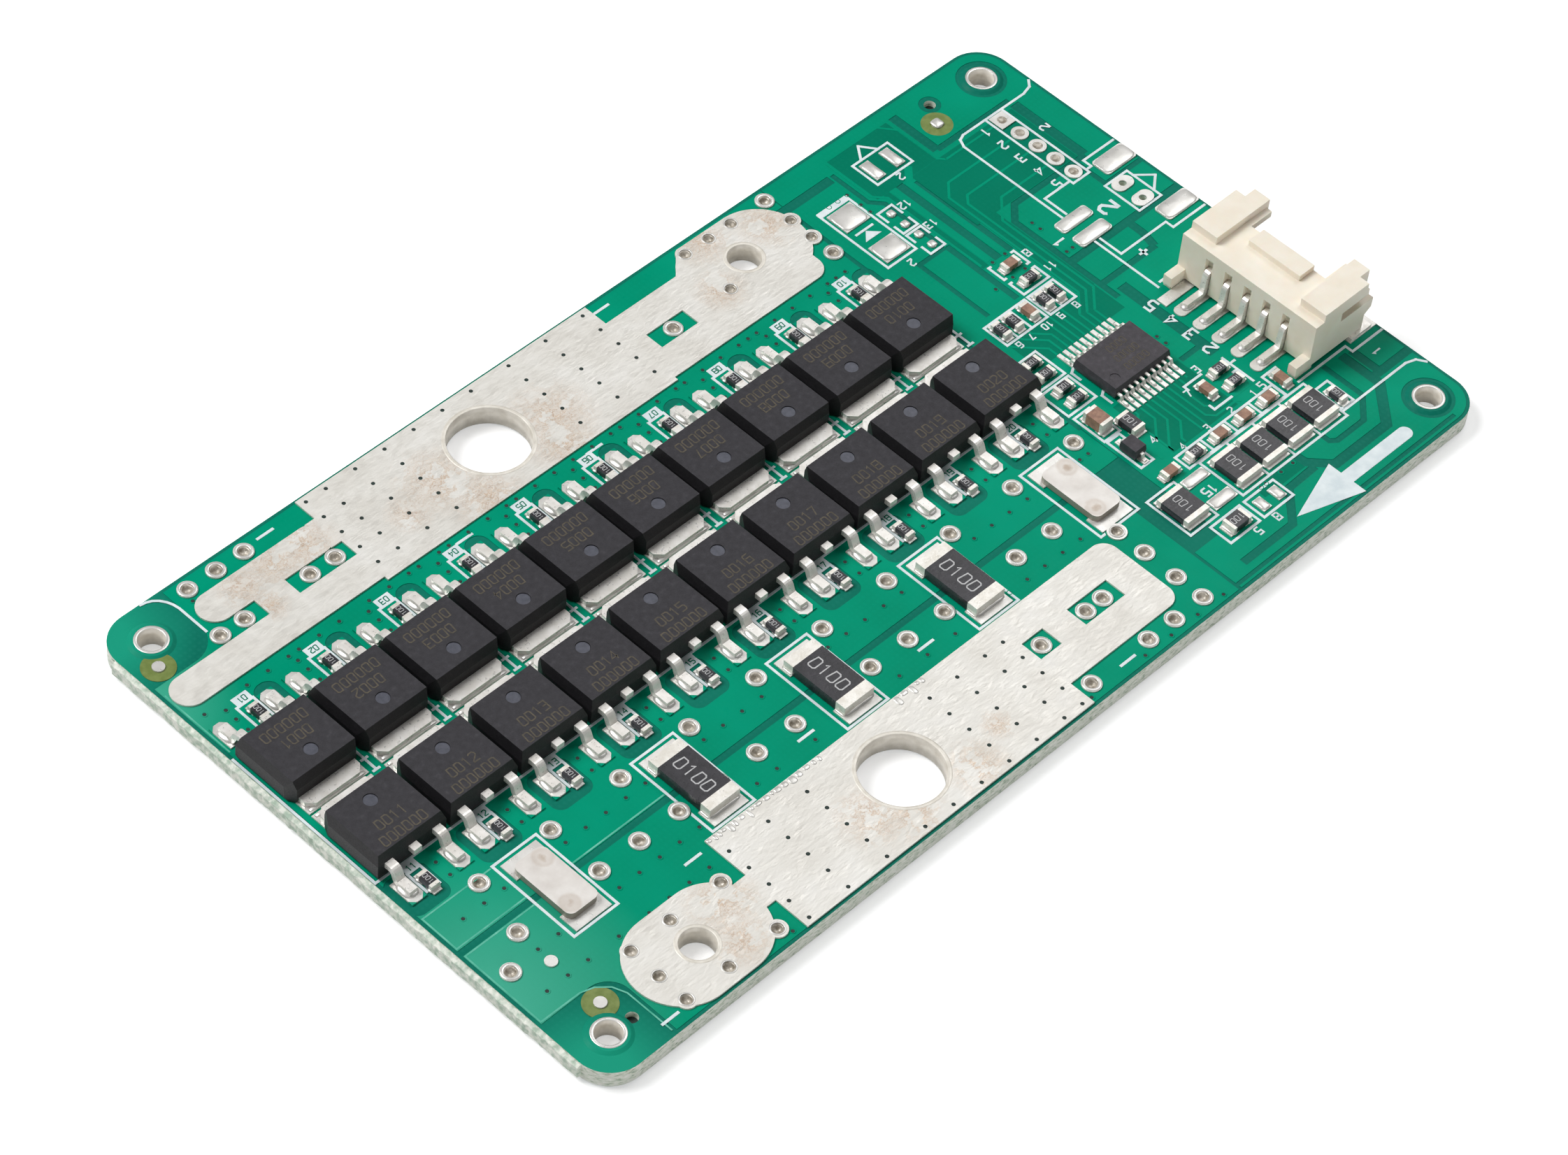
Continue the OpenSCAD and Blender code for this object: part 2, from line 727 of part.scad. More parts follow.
// The ink stops at the lands and short of the stitching holes
ink_gap = 0.1;
module printed_marks() {
    color([0.82, 0.88, 0.9])
        translate([0, 0, mask_z])
            linear_extrude(print_t)
                difference() {
                    print_outline();
                    lands_outline();
                    dots(eyelets, eyelet_d + 2 * ink_gap);
                }
}

// The minus bars of the polarity marks, from the middle of each bar
module polarity_bars() {
    for (p = [[16.2, p_edge - 1.05], [26.9, p_in - 0.8], [40.5, p_in - 0.8],
        [51.2, p_edge - 1.15], [18.2, b_in - 0.55], [32.3, b_in + 1.9],
        [45.1, b_in + 1.9], [55.2, b_edge + 1.3], [7.2, b_edge + 1.25]])
        translate([left + p[0], p[1]])
            square([1.7, 0.24], center = true);
}

// Frames and lines of the control zone, from its own left edge
module zone_print() {
    for (f = [[19.53, 10.7, 21.48, 20.49], [21.24, 5.02, 23.9, 8.77], [2.2, 2, 6.9, 4.5],
            [7.26, 2, 10.24, 4.5], [-1.96, -20.92, 1.17, -16.4], [4.15, -20.92, 7.29, -16.4],
            [7.29, -20.92, 10.37, -16.4], [10.37, -20.92, 13.48, -16.4],
            [13.48, -20.92, 16.6, -16.4], [16.8, -20.15, 18.25, -17.46],
            [-0.23, -23.5, 3.15, -21.4], [3.67, -23.5, 7.1, -21.4], [0.2, -6.35, 3.4, -3.4],
            [0.3, -10, 2.1, -6.8], [0.4, -13.75, 1.8, -10.2]])
        frame_lines(f[0], f[1], f[2], f[3]);
    for (p = [
        [[7.5, 21.15], [11.6, 21.15], [11.6, 24], [7.5, 24], [7.5, 21.15]],
        [[8.5, 24], [9.5, 25.3], [10.5, 24]],
        [[5.05, 17.7], [5.05, 18.85], [6.7, 18.85], [6.7, 17.7]],
        [[5.05, 16.9], [5.05, 15.95], [6.7, 15.95], [6.7, 16.9]],
        [[5.05, 14.7], [5.05, 15.65], [6.7, 15.65], [6.7, 14.7]],
        [[5.05, 13.9], [5.05, 12.95], [6.7, 12.95], [6.7, 13.9]],
        [[16.5, 8.75], [16.5, 11.06], [19.3, 11.06]],
        [[21.7, 11.06], [22.1, 11.06], [22.1, 11.93], [25.7, 11.93]],
        [[16.5, 5], [16.5, 2.75], [21.9, 2.75], [21.9, 1.95], [25.7, 1.95]],
        [[23.9, 8.1], [25.3, 6.91], [23.9, 5.8]],
        [[7.5, 8.75], [7.3, 8.75], [7.3, 7.05], [7.5, 7.05]],
        [[10, 8.75], [10.25, 8.75], [10.25, 7.05], [10, 7.05]],
        [[7.5, 6.45], [7.3, 6.45], [7.3, 4.9], [10.25, 4.9], [10.25, 6.45], [10, 6.45]],
        [[3.5, 2], [3.5, 4.5]],
        [[5.1, 2], [5.1, 4.5]],
        [[8.7, 2], [8.7, 4.5]],
        [[0.5, 0.1], [3.4, 0.1], [3.4, -3.05], [0.5, -3.05]],
        [[4.3, -3.1], [3.8, -3.4], [3.8, -4.3]],
        [[4.3, -6.3], [3.8, -6.6], [3.8, -7.6]],
        [[9.3, -10.75], [9.3, -10.3], [11.3, -10.3]],
        [[9.3, -13], [9.3, -13.5], [11.3, -13.5]],
        [[13.4, -11.85], [13.9, -11.85]],
        [[13.9, -10.3], [13.9, -13.5]],
        [[14.7, -16.3], [14.7, -13.75], [16.3, -13.75]],
        [[16.8, -20.4], [24.4, -20.4], [25.3, -20.7], [25.75, -21.4]],
        [[15.94, -1.7], [15.94, 5.05]],
        [[15.94, 8.7], [15.94, 19.5], [16.3, 20.25], [16.9, 20.49], [24.2, 20.49],
            [25.2, 20.75], [25.7, 21.3]]])
        lines(p);
    // frames of the row of capacitors
    for (i = [0 : 3])
        translate([3.15 + i * 2.87, -16.3])
            frame_lines(0, 0, 2.87, 1.5);
    diode_print();
}

// Frame and symbol of the large diode that this board leaves out
module diode_print() {
    frame_lines(1.35, 14.13, 4.6, 21.93);
    patch(1.3, 21.5, 4.6, 22.1);
    polygon([[2.1, 17.3], [3.9, 17.3], [3, 18.2]]);
    line([2.1, 18.35], [3.9, 18.35]);
}

// ---------- power transistors ----------

// Runs its children at the place of transistor i, counted from 1: the
// first row has its leads towards the P- edge, the second faces it
module at_mosfet(i) {
    first_row = i <= mos_count;
    k = first_row ? i - 1 : i - 1 - mos_count;
    translate([mos_x + k * mos_pitch, first_row ? row_a : row_b, land_z])
        rotate(first_row ? 0 : 180)
            children();
}

// The moulding line, where the leads come out
lead_z = 0.95;
draft = 0.3;
module mosfet_side(length) {
    polygon([[-length / 2 + 0.1, 0], [length / 2 - 0.1, 0],
        [length / 2, 0.3], [length / 2, lead_z + lead_t],
        [length / 2 - draft, mos_h], [-length / 2 + draft, mos_h],
        [-length / 2, lead_z + lead_t], [-length / 2, 0.3]]);
}

tab_corner = 0.9;
slug_in = mos_l - 0.9;
module mosfet_body(i) {
    color([0.19, 0.18, 0.2])
        at_mosfet(i)
            difference() {
                intersection() {
                    across_x(mos_w + 1)
                        mosfet_side(mos_l);
                    rotate(90)
                        across_x(mos_l + 1)
                            mosfet_side(mos_w);
                    linear_extrude(mos_h)
                        polygon([[-mos_w / 2, mos_l / 2], [mos_w / 2, mos_l / 2],
                            [mos_w / 2, -mos_l / 2 + tab_corner],
                            [mos_w / 2 - tab_corner / 2, -mos_l / 2],
                            [-mos_w / 2 + tab_corner / 2, -mos_l / 2],
                            [-mos_w / 2, -mos_l / 2 + tab_corner]]);
                }
                // the round ejector mark, and the seat of the metal tab
                translate([0, -1.35, mos_h - 0.08])
                    cylinder(d = 1.15, h = 1);
                translate([-tab_w / 2, -mos_l / 2 - 1, -1])
                    cube([tab_w, 1 + slug_in, 1 + lead_t]);
            }
}

foot_z = lead_t / 2;
module mosfet_frame(i) {
    tip = -mos_l / 2 - tab_out;
    cut = 0.6;
    root = mos_l / 2;
    color([0.78, 0.77, 0.74])
        at_mosfet(i) {
            linear_extrude(lead_t)
                polygon([[-tab_w / 2, slug_in - mos_l / 2],
                    [tab_w / 2, slug_in - mos_l / 2],
                    [tab_w / 2, tip + cut], [tab_w / 2 - cut, tip],
                    [-tab_w / 2 + cut, tip], [-tab_w / 2, tip + cut]]);
            for (s = [-1, 1])
                translate([s * lead_gap / 2, 0, 0])
                    across_x(lead_w)
                        polygon(strip(bent_path([[root, lead_z + foot_z],
                            [root + 0.75, lead_z + foot_z],
                            [root + 1.15, foot_z],
                            [root + lead_out, foot_z]], 0.35), lead_t));
            // the cut stub of the middle lead
            translate([-lead_w / 2, root, lead_z])
                cube([lead_w, 0.6, lead_t]);
        }
}

// ---------- balance connector ----------

tab_t = 0.2;
end_in = conn_w / 2 - 2.55;
cut_in = conn_w / 2 - 3.1;
side_in = conn_w / 2 - conn_wall;
roof_l = 4.7;
body_l = conn_d - 0.95;
pin_z = 2.35;
groove_h = 3.85;
pin_slack = 0.02;

// Local frame of the connector: X forward from its rear face, Y along it,
// Z up from the underside of the housing, which stands on the tabs
module at_connector() {
    translate([conn_x, conn_y, land_z + tab_t])
        children();
}
lift = land_t + tab_t;

// A block between two x, the distances of its sides from the middle, and
// two heights, on both sides of the middle
module pair(x0, x1, y0, y1, z0, z1) {
    for (s = [-1, 1])
        translate([x0, s < 0 ? -y1 : y0, z0])
            cube([x1 - x0, y1 - y0, z1 - z0]);
}

module middle(x0, x1, y, z0, z1) {
    translate([x0, -y, z0])
        cube([x1 - x0, 2 * y, z1 - z0]);
}

module connector_housing() {
    top = conn_h - lift;
    roof = roof_h - lift;
    ceiling = roof - 0.6;
    color([0.9, 0.87, 0.79])
        at_connector()
            difference() {
                union() {
                    middle(0, body_l, conn_w / 2, 0, roof);
                    // raised ends, arms, ledges and the bar on the roof
                    pair(1, body_l - 0.25, end_in, conn_w / 2, ceiling, top);
                    pair(body_l - 1, conn_d, end_in, conn_w / 2 - 0.95, ceiling, top);
                    pair(body_l - 1, conn_d - 0.25, cut_in, end_in + e, ceiling, roof);
                    middle(2.9, roof_l, 2.65, roof - e, roof + 0.55);
                    wings();
                    // feet that stand on the board behind the rear face
                    pair(-1.65, 0.4, side_in, conn_w / 2, 0, 0.95);
                    pair(-1.5, 0.4, side_in, conn_w / 2, -lift, e);
                }
                // the socket, the cut in its roof and the slots in its sides
                middle(conn_wall + 0.7, conn_d + 1, side_in, 0.7, ceiling);
                middle(roof_l, conn_d + 1, cut_in, 0.7, top + 1);
                pair(3.3, conn_d + 1, side_in - e, conn_w / 2 + 1, 2.85, ceiling);
                for (y = pins)
                    translate([0, y - conn_y, 0]) {
                        translate([-1, -0.38, -1])
                            cube([1.55, 0.76, 1 + groove_h - lift]);
                        translate([0, -pin_t / 2 - pin_slack,
                            pin_z - tab_t - pin_t / 2 - pin_slack])
                            cube([conn_wall + 1, pin_t + 2 * pin_slack,
                                pin_t + 2 * pin_slack]);
                    }
            }
}

// The lower front corners, which reach further than the floor
module wings() {
    for (s = [-1, 1])
        translate([0, s * (conn_w / 2 - conn_wall / 2), 0])
            rotate([90, 0, 0])
                translate([0, 0, -conn_wall / 2])
                    linear_extrude(conn_wall)
                        polygon([[5, 1.4], [body_l, 1.4], [conn_d - 0.2, 1.9],
                            [conn_d - 0.15, 2.85], [5, 2.85]]);
}

module connector_pins() {
    color([0.8, 0.78, 0.74])
        for (y = pins)
            translate([conn_x, y + pin_t / 2, land_z])
                rotate([90, 0, 0])
                    linear_extrude(pin_t)
                        polygon(strip(bent_path([[5.9, pin_z], [-0.02, pin_z],
                            [-0.2, pin_t / 2], [-2.3, pin_t / 2]], 0.3), pin_t));
}

// Flat hold-down tabs under the ends of the housing
module connector_tabs() {
    color([0.8, 0.79, 0.76])
        translate([conn_x, conn_y, land_z])
            pair(4.9, conn_d - 0.1, conn_w / 2 - 1.4, conn_w / 2 + 0.35, 0, tab_t);
}

// ---------- controller ----------

ic_lead_z = 0.5;
ic_lead_t = 0.14;
ic_side = ic_w / 2;
module ic_profile(length) {
    polygon([[-length / 2 + 0.06, 0.1], [length / 2 - 0.06, 0.1],
        [length / 2, ic_lead_z - 0.1], [length / 2, ic_lead_z + 0.1],
        [length / 2 - 0.1, ic_h], [-length / 2 + 0.1, ic_h],
        [-length / 2, ic_lead_z + 0.1], [-length / 2, ic_lead_z - 0.1]]);
}

module controller_body() {
    color([0.28, 0.26, 0.29])
        translate([ic_at[0], ic_at[1], land_z])
            difference() {
                intersection() {
                    across_x(ic_l + 1)
                        ic_profile(ic_w);
                    rotate(90)
                        across_x(ic_w + 1)
                            ic_profile(ic_l);
                }
                // the mark of the first lead
                translate([-ic_l / 2 + 0.95, -ic_side + 0.95, ic_h - 0.06])
                    cylinder(d = 0.9, h = 1);
            }
}

module controller_leads() {
    path = bent_path([[ic_side, ic_lead_z], [ic_side + 0.4, ic_lead_z],
        [ic_side + 0.55, ic_lead_t / 2], [ic_side + 1.05, ic_lead_t / 2]],
        0.1, 3);
    color([0.8, 0.8, 0.78])
        translate([ic_at[0], ic_at[1], land_z])
            for (i = [0 : ic_leads - 1], s = [0, 180])
                rotate(s)
                    translate([(i - (ic_leads - 1) / 2) * ic_pitch, 0, 0])
                        across_x(0.22)
                            polygon(strip(path, ic_lead_t));
}

// ---------- chip parts ----------

// The middle and the two metal ends of a chip part of the size in use
module chip_body(cap) {
    linear_extrude($size[2])
        square([$size[0] - 2 * cap, $size[1]], center = true);
}

module chip_ends(cap) {
    for (s = [-1, 1])
        translate([s * ($size[0] / 2 - cap / 2), 0, 0])
            linear_extrude($size[2])
                square([cap, $size[1]], center = true);
}

chip_cap = 0.3;
bal_cap = 0.45;
shunt_cap = 0.95;

module chip_resistors() {
    color([0.17, 0.16, 0.18])
        translate([0, 0, land_z]) {
            each_zone_chip(zone_resistors)
                chip_body(chip_cap);
            each_gate_resistor()
                chip_body(chip_cap);
        }
}

module chip_capacitors() {
    color([0.6, 0.44, 0.34])
        translate([0, 0, land_z])
            each_zone_chip(zone_capacitors)
                chip_body(chip_cap);
}

module chip_terminals() {
    color([0.85, 0.83, 0.79])
        translate([0, 0, land_z]) {
            each_zone_chip(concat(zone_resistors, zone_capacitors))
                chip_ends(chip_cap);
            each_gate_resistor()
                chip_ends(chip_cap);
            each_balance_resistor()
                chip_ends(bal_cap);
        }
}

module balance_resistors() {
    color([0.17, 0.16, 0.18])
        translate([0, 0, land_z])
            each_balance_resistor()
                chip_body(bal_cap);
}

// The shunts are the places between the first and the last
shunt_places = [1 : len(shunt_xs) - 2];
module shunt_bodies() {
    $size = [shunt_l, shunt_w, shunt_h];
    color([0.17, 0.16, 0.18])
        translate([0, 0, land_z])
            each_shunt(shunt_places)
                chip_body(shunt_cap);
}

module shunt_terminals() {
    $size = [shunt_l, shunt_w, shunt_h];
    color([0.85, 0.84, 0.82])
        translate([0, 0, land_z])
            each_shunt(shunt_places)
                chip_ends(shunt_cap);
}

// Plain metal bridges in the first and the last place
module jumper_plates() {
    color([0.88, 0.88, 0.87])
        translate([0, 0, land_z])
            linear_extrude(jumper_t)
                each_shunt([0, len(shunt_xs) - 1])
                    soft_patch(-jumper_l / 2, -jumper_w / 2,
                        jumper_l / 2, jumper_w / 2, 0.6);
}

// ---------- small diode ----------

diode_lead_t = 0.12;
module diode_body() {
    color([0.17, 0.16, 0.17])
        translate([diode_at[0], diode_at[1], land_z])
            across_x(diode_w)
                polygon([[-diode_l / 2 + 0.08, 0.05], [diode_l / 2 - 0.08, 0.05],
                    [diode_l / 2, 0.4], [diode_l / 2, 0.6],
                    [diode_l / 2 - 0.1, diode_h], [-diode_l / 2 + 0.1, diode_h],
                    [-diode_l / 2, 0.6], [-diode_l / 2, 0.4]]);
}

module diode_leads() {
    path = bent_path([[diode_l / 2, 0.5], [diode_l / 2 + 0.2, 0.5],
        [diode_l / 2 + 0.25, diode_lead_t / 2],
        [diode_l / 2 + 0.55, diode_lead_t / 2]], 0.08, 3);
    color([0.8, 0.8, 0.78])
        translate([diode_at[0], diode_at[1], land_z])
            for (s = [0, 180])
                rotate(s)
                    across_x(0.3)
                        polygon(strip(path, diode_lead_t));
}

circuit_board();
copper_pours();
p_minus_land();
b_minus_land();
solder_lands();
printed_marks();
for (i = [1 : mos_total]) {
    mosfet_body(i);
    mosfet_frame(i);
}
connector_housing();
connector_pins();
connector_tabs();
controller_body();
controller_leads();
shunt_bodies();
shunt_terminals();
jumper_plates();
balance_resistors();
chip_resistors();
chip_capacitors();
chip_terminals();
diode_body();
diode_leads();
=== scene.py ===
import json
import math
import random

import bpy
from mathutils import Matrix, Vector


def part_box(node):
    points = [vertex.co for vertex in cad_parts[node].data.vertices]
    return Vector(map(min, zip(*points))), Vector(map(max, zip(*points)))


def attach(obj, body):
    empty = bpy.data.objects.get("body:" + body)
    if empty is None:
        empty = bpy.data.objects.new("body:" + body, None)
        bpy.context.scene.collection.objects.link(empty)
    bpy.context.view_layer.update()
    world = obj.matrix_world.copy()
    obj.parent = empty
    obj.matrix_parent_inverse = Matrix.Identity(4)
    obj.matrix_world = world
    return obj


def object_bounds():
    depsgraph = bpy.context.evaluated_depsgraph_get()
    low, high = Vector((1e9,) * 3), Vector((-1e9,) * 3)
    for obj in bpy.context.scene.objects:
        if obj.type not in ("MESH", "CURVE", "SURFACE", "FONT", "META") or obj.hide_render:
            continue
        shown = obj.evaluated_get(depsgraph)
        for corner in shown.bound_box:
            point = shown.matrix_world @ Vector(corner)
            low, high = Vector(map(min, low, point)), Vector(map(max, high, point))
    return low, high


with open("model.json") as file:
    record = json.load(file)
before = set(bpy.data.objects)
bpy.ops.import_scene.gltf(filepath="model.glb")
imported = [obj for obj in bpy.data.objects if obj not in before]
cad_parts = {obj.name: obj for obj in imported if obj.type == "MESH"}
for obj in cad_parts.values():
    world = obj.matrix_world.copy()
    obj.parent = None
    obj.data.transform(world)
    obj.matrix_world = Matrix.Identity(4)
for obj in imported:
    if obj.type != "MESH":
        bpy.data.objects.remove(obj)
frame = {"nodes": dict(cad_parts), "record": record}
cad_low, cad_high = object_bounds()
nodes = frame["nodes"]
MM = 0.001
rng = random.Random(7)

# Tops of the mask, the power lands and the small lands, then the board's edges
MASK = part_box("copper_pours")[1].z / MM
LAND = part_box("p_minus_land")[1].z / MM
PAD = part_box("solder_lands")[1].z / MM
LEFT, B_EDGE = (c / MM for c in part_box("circuit_board")[0][:2])
RIGHT, P_EDGE, BOARD = (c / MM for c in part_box("circuit_board")[1])

# Sizes that the part's source also has, in millimetres
FIRST_ROW = 10  # transistors in each of the two rows
PITCH = 7  # from one transistor to the next
LEAD_X = 2.286  # from a transistor's middle to its outer leads
RING = 1.62  # outer diameter of a stitching ring
STITCH_HOLE = 0.499  # radius inside it, less a gap of 0.001
MOUNT_LAND = 3.1  # outer diameter of the ring round a corner hole
HEADER = (42.5, 19.5)  # first contact of the empty header
HEADER_PITCH = 1.985
P_LOBE = (15.55, 22.5)  # middles of the lands' round ends
B_LOBE = (-34.9, -22.8)
BIG_HOLE_X = -12.9


# ---------- mesh making ----------
class Build:
    """Gathers closed forms, in millimetres, into one mesh."""

    MITRE = 0.6  # the least share of its width that a corner of a strip keeps

    def __init__(self):
        self.verts = []
        self.faces = []
        self.smooth = []

    def add(self, verts, faces, smooth=False):
        n = len(self.verts)
        self.verts += verts
        self.faces += [tuple(n + i for i in f) for f in faces]
        self.smooth += [smooth] * len(faces)

    def prism(self, poly, z0, z1):
        area = sum(
            a[0] * b[1] - b[0] * a[1] for a, b in zip(poly, poly[1:] + poly[:1])
        )
        if area < 0:
            poly = poly[::-1]
        n = len(poly)
        verts = [(x, y, z0) for x, y in poly] + [(x, y, z1) for x, y in poly]
        faces = [tuple(range(n - 1, -1, -1)), tuple(range(n, 2 * n))]
        faces += [(i, (i + 1) % n, n + (i + 1) % n, n + i) for i in range(n)]
        self.add(verts, faces)

    def rect(self, x0, y0, x1, y1, z0, z1):
        self.prism([(x0, y0), (x1, y0), (x1, y1), (x0, y1)], z0, z1)

    def disc(self, x, y, r, z0, z1, n=12):
        turn = [2 * math.pi * i / n for i in range(n)]
        self.prism([(x + r * math.cos(a), y + r * math.sin(a)) for a in turn], z0, z1)

    def line(self, path, w, z0, z1):
        """A strip along the path, mitred at its corners, its ends square."""
        path = [p for i, p in enumerate(path) if i == 0 or p != path[i - 1]]
        left, right = [], []
        n = len(path)
        for i, p in enumerate(path):
            a = path[max(i - 1, 0)]
            b = path[min(i + 1, n - 1)]
            u = Vector((p[0] - a[0], p[1] - a[1]))
            v = Vector((b[0] - p[0], b[1] - p[1]))
            u = u.normalized() if u.length else v.normalized()
            v = v.normalized() if v.length else u.normalized()
            t = (u + v).normalized() if (u + v).length > 1e-6 else u
            m = Vector((-t.y, t.x))
            k = w / 2 / max(self.MITRE, m.dot(Vector((-u.y, u.x))))
            left.append((p[0] + m.x * k, p[1] + m.y * k))
            right.append((p[0] - m.x * k, p[1] - m.y * k))
        verts, faces = [], []
        for z in (z0, z1):
            verts += [(x, y, z) for x, y in left] + [(x, y, z) for x, y in right]
        for i in range(n - 1):
            a, b, c, d = i, i + 1, n + i + 1, n + i
            faces.append((a, b, c, d))
            faces.append((2 * n + d, 2 * n + c, 2 * n + b, 2 * n + a))
            faces.append((a, 2 * n + a, 2 * n + b, b))
            faces.append((d, c, 2 * n + c, 2 * n + d))
        faces.append((0, n, 3 * n, 2 * n))
        faces.append((n - 1, 3 * n - 1, 4 * n - 1, 2 * n - 1))
        self.add(verts, faces)

    def tube(self, x, y, r_out, r_in, z0, z1, n=24, lip=0.0):
        """A ring whose top edge is rounded by lip."""
        prof = [(r_in, z0), (r_out, z0)]
        if lip:
            prof += [(r_out, z1 - lip), (r_out - lip, z1)]
            prof += [(r_in + lip, z1), (r_in, z1 - lip)]
        else:
            prof += [(r_out, z1), (r_in, z1)]
        self.lathe(x, y, prof, n, smooth=True)

    def lathe(self, x, y, prof, n, smooth=False):
        """A closed ring turned from a profile of (radius, height)."""
        around = zip(prof, prof[1:] + prof[:1])
        if sum(p[0] * q[1] - q[0] * p[1] for p, q in around) < 0:
            prof = prof[::-1]
        verts, faces = [], []
        k = len(prof)
        for i in range(n):
            a = 2 * math.pi * i / n
            for r, z in prof:
                verts.append((x + r * math.cos(a), y + r * math.sin(a), z))
        for i in range(n):
            j = (i + 1) % n
            for q in range(k):
                t = (q + 1) % k
                faces.append((i * k + q, j * k + q, j * k + t, i * k + t))
        self.add(verts, faces, smooth)

    def mound(self, x0, y0, x1, y1, z, h, n=7, power=2.6, tilt=(0.0, 0.0)):
        """A pool of solder, flat below and domed above, made of n rings.

        Its outline is a rectangle, squarer as power grows.
        """
        cx, cy = (x0 + x1) / 2, (y0 + y1) / 2
        hx, hy = (x1 - x0) / 2, (y1 - y0) / 2
        steps = 4 * n
        verts = [(cx, cy, z + h)]
        faces = [(0, 1 + s, 1 + (s + 1) % steps) for s in range(steps)]
        for r in range(1, n + 1):
            f = math.sin(r / n * math.pi / 2)
            for s in range(steps):
                a = 2 * math.pi * s / steps
                c, d = math.cos(a), math.sin(a)
                k = (abs(c) ** power + abs(d) ** power) ** (-1 / power)
                px, py = f * k * c, f * k * d
                top = h * math.sqrt(max(0.0, 1 - f * f))
                top *= 1 + tilt[0] * px + tilt[1] * py
                verts.append((cx + hx * px, cy + hy * py, z + max(0.0, top)))
        for r in range(n - 1):
            for s in range(steps):
                a, b = 1 + r * steps, 1 + (r + 1) * steps
                t = (s + 1) % steps
                faces.append((a + s, b + s, b + t, a + t))
        base = 1 + (n - 1) * steps
        faces.append(tuple(base + s for s in range(steps))[::-1])
        self.add(verts, faces, smooth=True)

    def bowl(self, x, y, r, z, depth):
        """A dished plug that fills a hole, its rim at z."""
        n = 20
        prof = [(0.0, z - depth), (0.45, z - depth * 0.85), (0.8, z - depth * 0.45)]
        prof += [(1.0, z), (1.0, z - depth - 0.5)]
        verts = [(x, y, prof[0][1]), (x, y, prof[-1][1])]
        m = len(prof) - 1
        for i in range(n):
            a = 2 * math.pi * i / n
            for f, pz in prof[1:]:
                verts.append((x + r * f * math.cos(a), y + r * f * math.sin(a), pz))
        faces = []
        for i in range(n):
            p, q = 2 + i * m, 2 + (i + 1) % n * m
            faces.append((0, p, q))
            for k in range(m - 1):
                faces.append((p + k, p + k + 1, q + k + 1, q + k))
            faces.append((p + m - 1, 1, q + m - 1))
        self.add(verts, faces, smooth=True)

    def done(self, name, material):
        mesh = bpy.data.meshes.new(name)
        mesh.from_pydata(
            [(x * MM, y * MM, z * MM) for x, y, z in self.verts], [], self.faces
        )
        mesh.polygons.foreach_set("use_smooth", self.smooth)
        mesh.update()
        o = bpy.data.objects.new(name, mesh)
        bpy.context.scene.collection.objects.link(o)
        o.data.materials.append(material)
        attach(o, "root")
        return o


def parts_of(name):
    """Box of each separate solid in a CAD node: (x0, y0, z0, x1, y1, z1) in mm."""
    mesh = nodes[name].data
    at, root = {}, []
    index = []
    for v in mesh.vertices:
        key = tuple(round(c * 1e6) for c in v.co)
        if key not in at:
            at[key] = len(root)
            root.append(at[key])
        index.append(at[key])

    def top(i):
        while root[i] != i:
            root[i] = root[root[i]]
            i = root[i]
        return i

    for p in mesh.polygons:
        first = top(index[p.vertices[0]])
        for v in p.vertices[1:]:
            root[top(index[v])] = first
    boxes = {}
    for v in mesh.vertices:
        k = top(index[v.index])
        co = [c / MM for c in v.co]
        b = boxes.setdefault(k, co + co)
        for i in range(3):
            b[i] = min(b[i], co[i])
            b[i + 3] = max(b[i + 3], co[i])
    return sorted(boxes.values())


def middles(name):
    """The middle of each separate solid in a CAD node, seen from above."""
    return [((b[0] + b[3]) / 2, (b[1] + b[4]) / 2) for b in parts_of(name)]


def extent(name):
    """The two corners of a CAD node's box, in millimetres."""
    return [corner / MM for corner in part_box(name)]


# ---------- materials ----------
def linear(*rgb):
    """A colour given as it shows, from 0 to 255, as the shader wants it."""
    out = []
    for c in rgb:
        c /= 255
        out.append(c / 12.92 if c <= 0.04045 else ((c + 0.055) / 1.055) ** 2.4)
    return tuple(out) + (1.0,)


def grey(share):
    """A share from 0 to 1, as a ramp gives it."""
    return (share, share, share, 1)


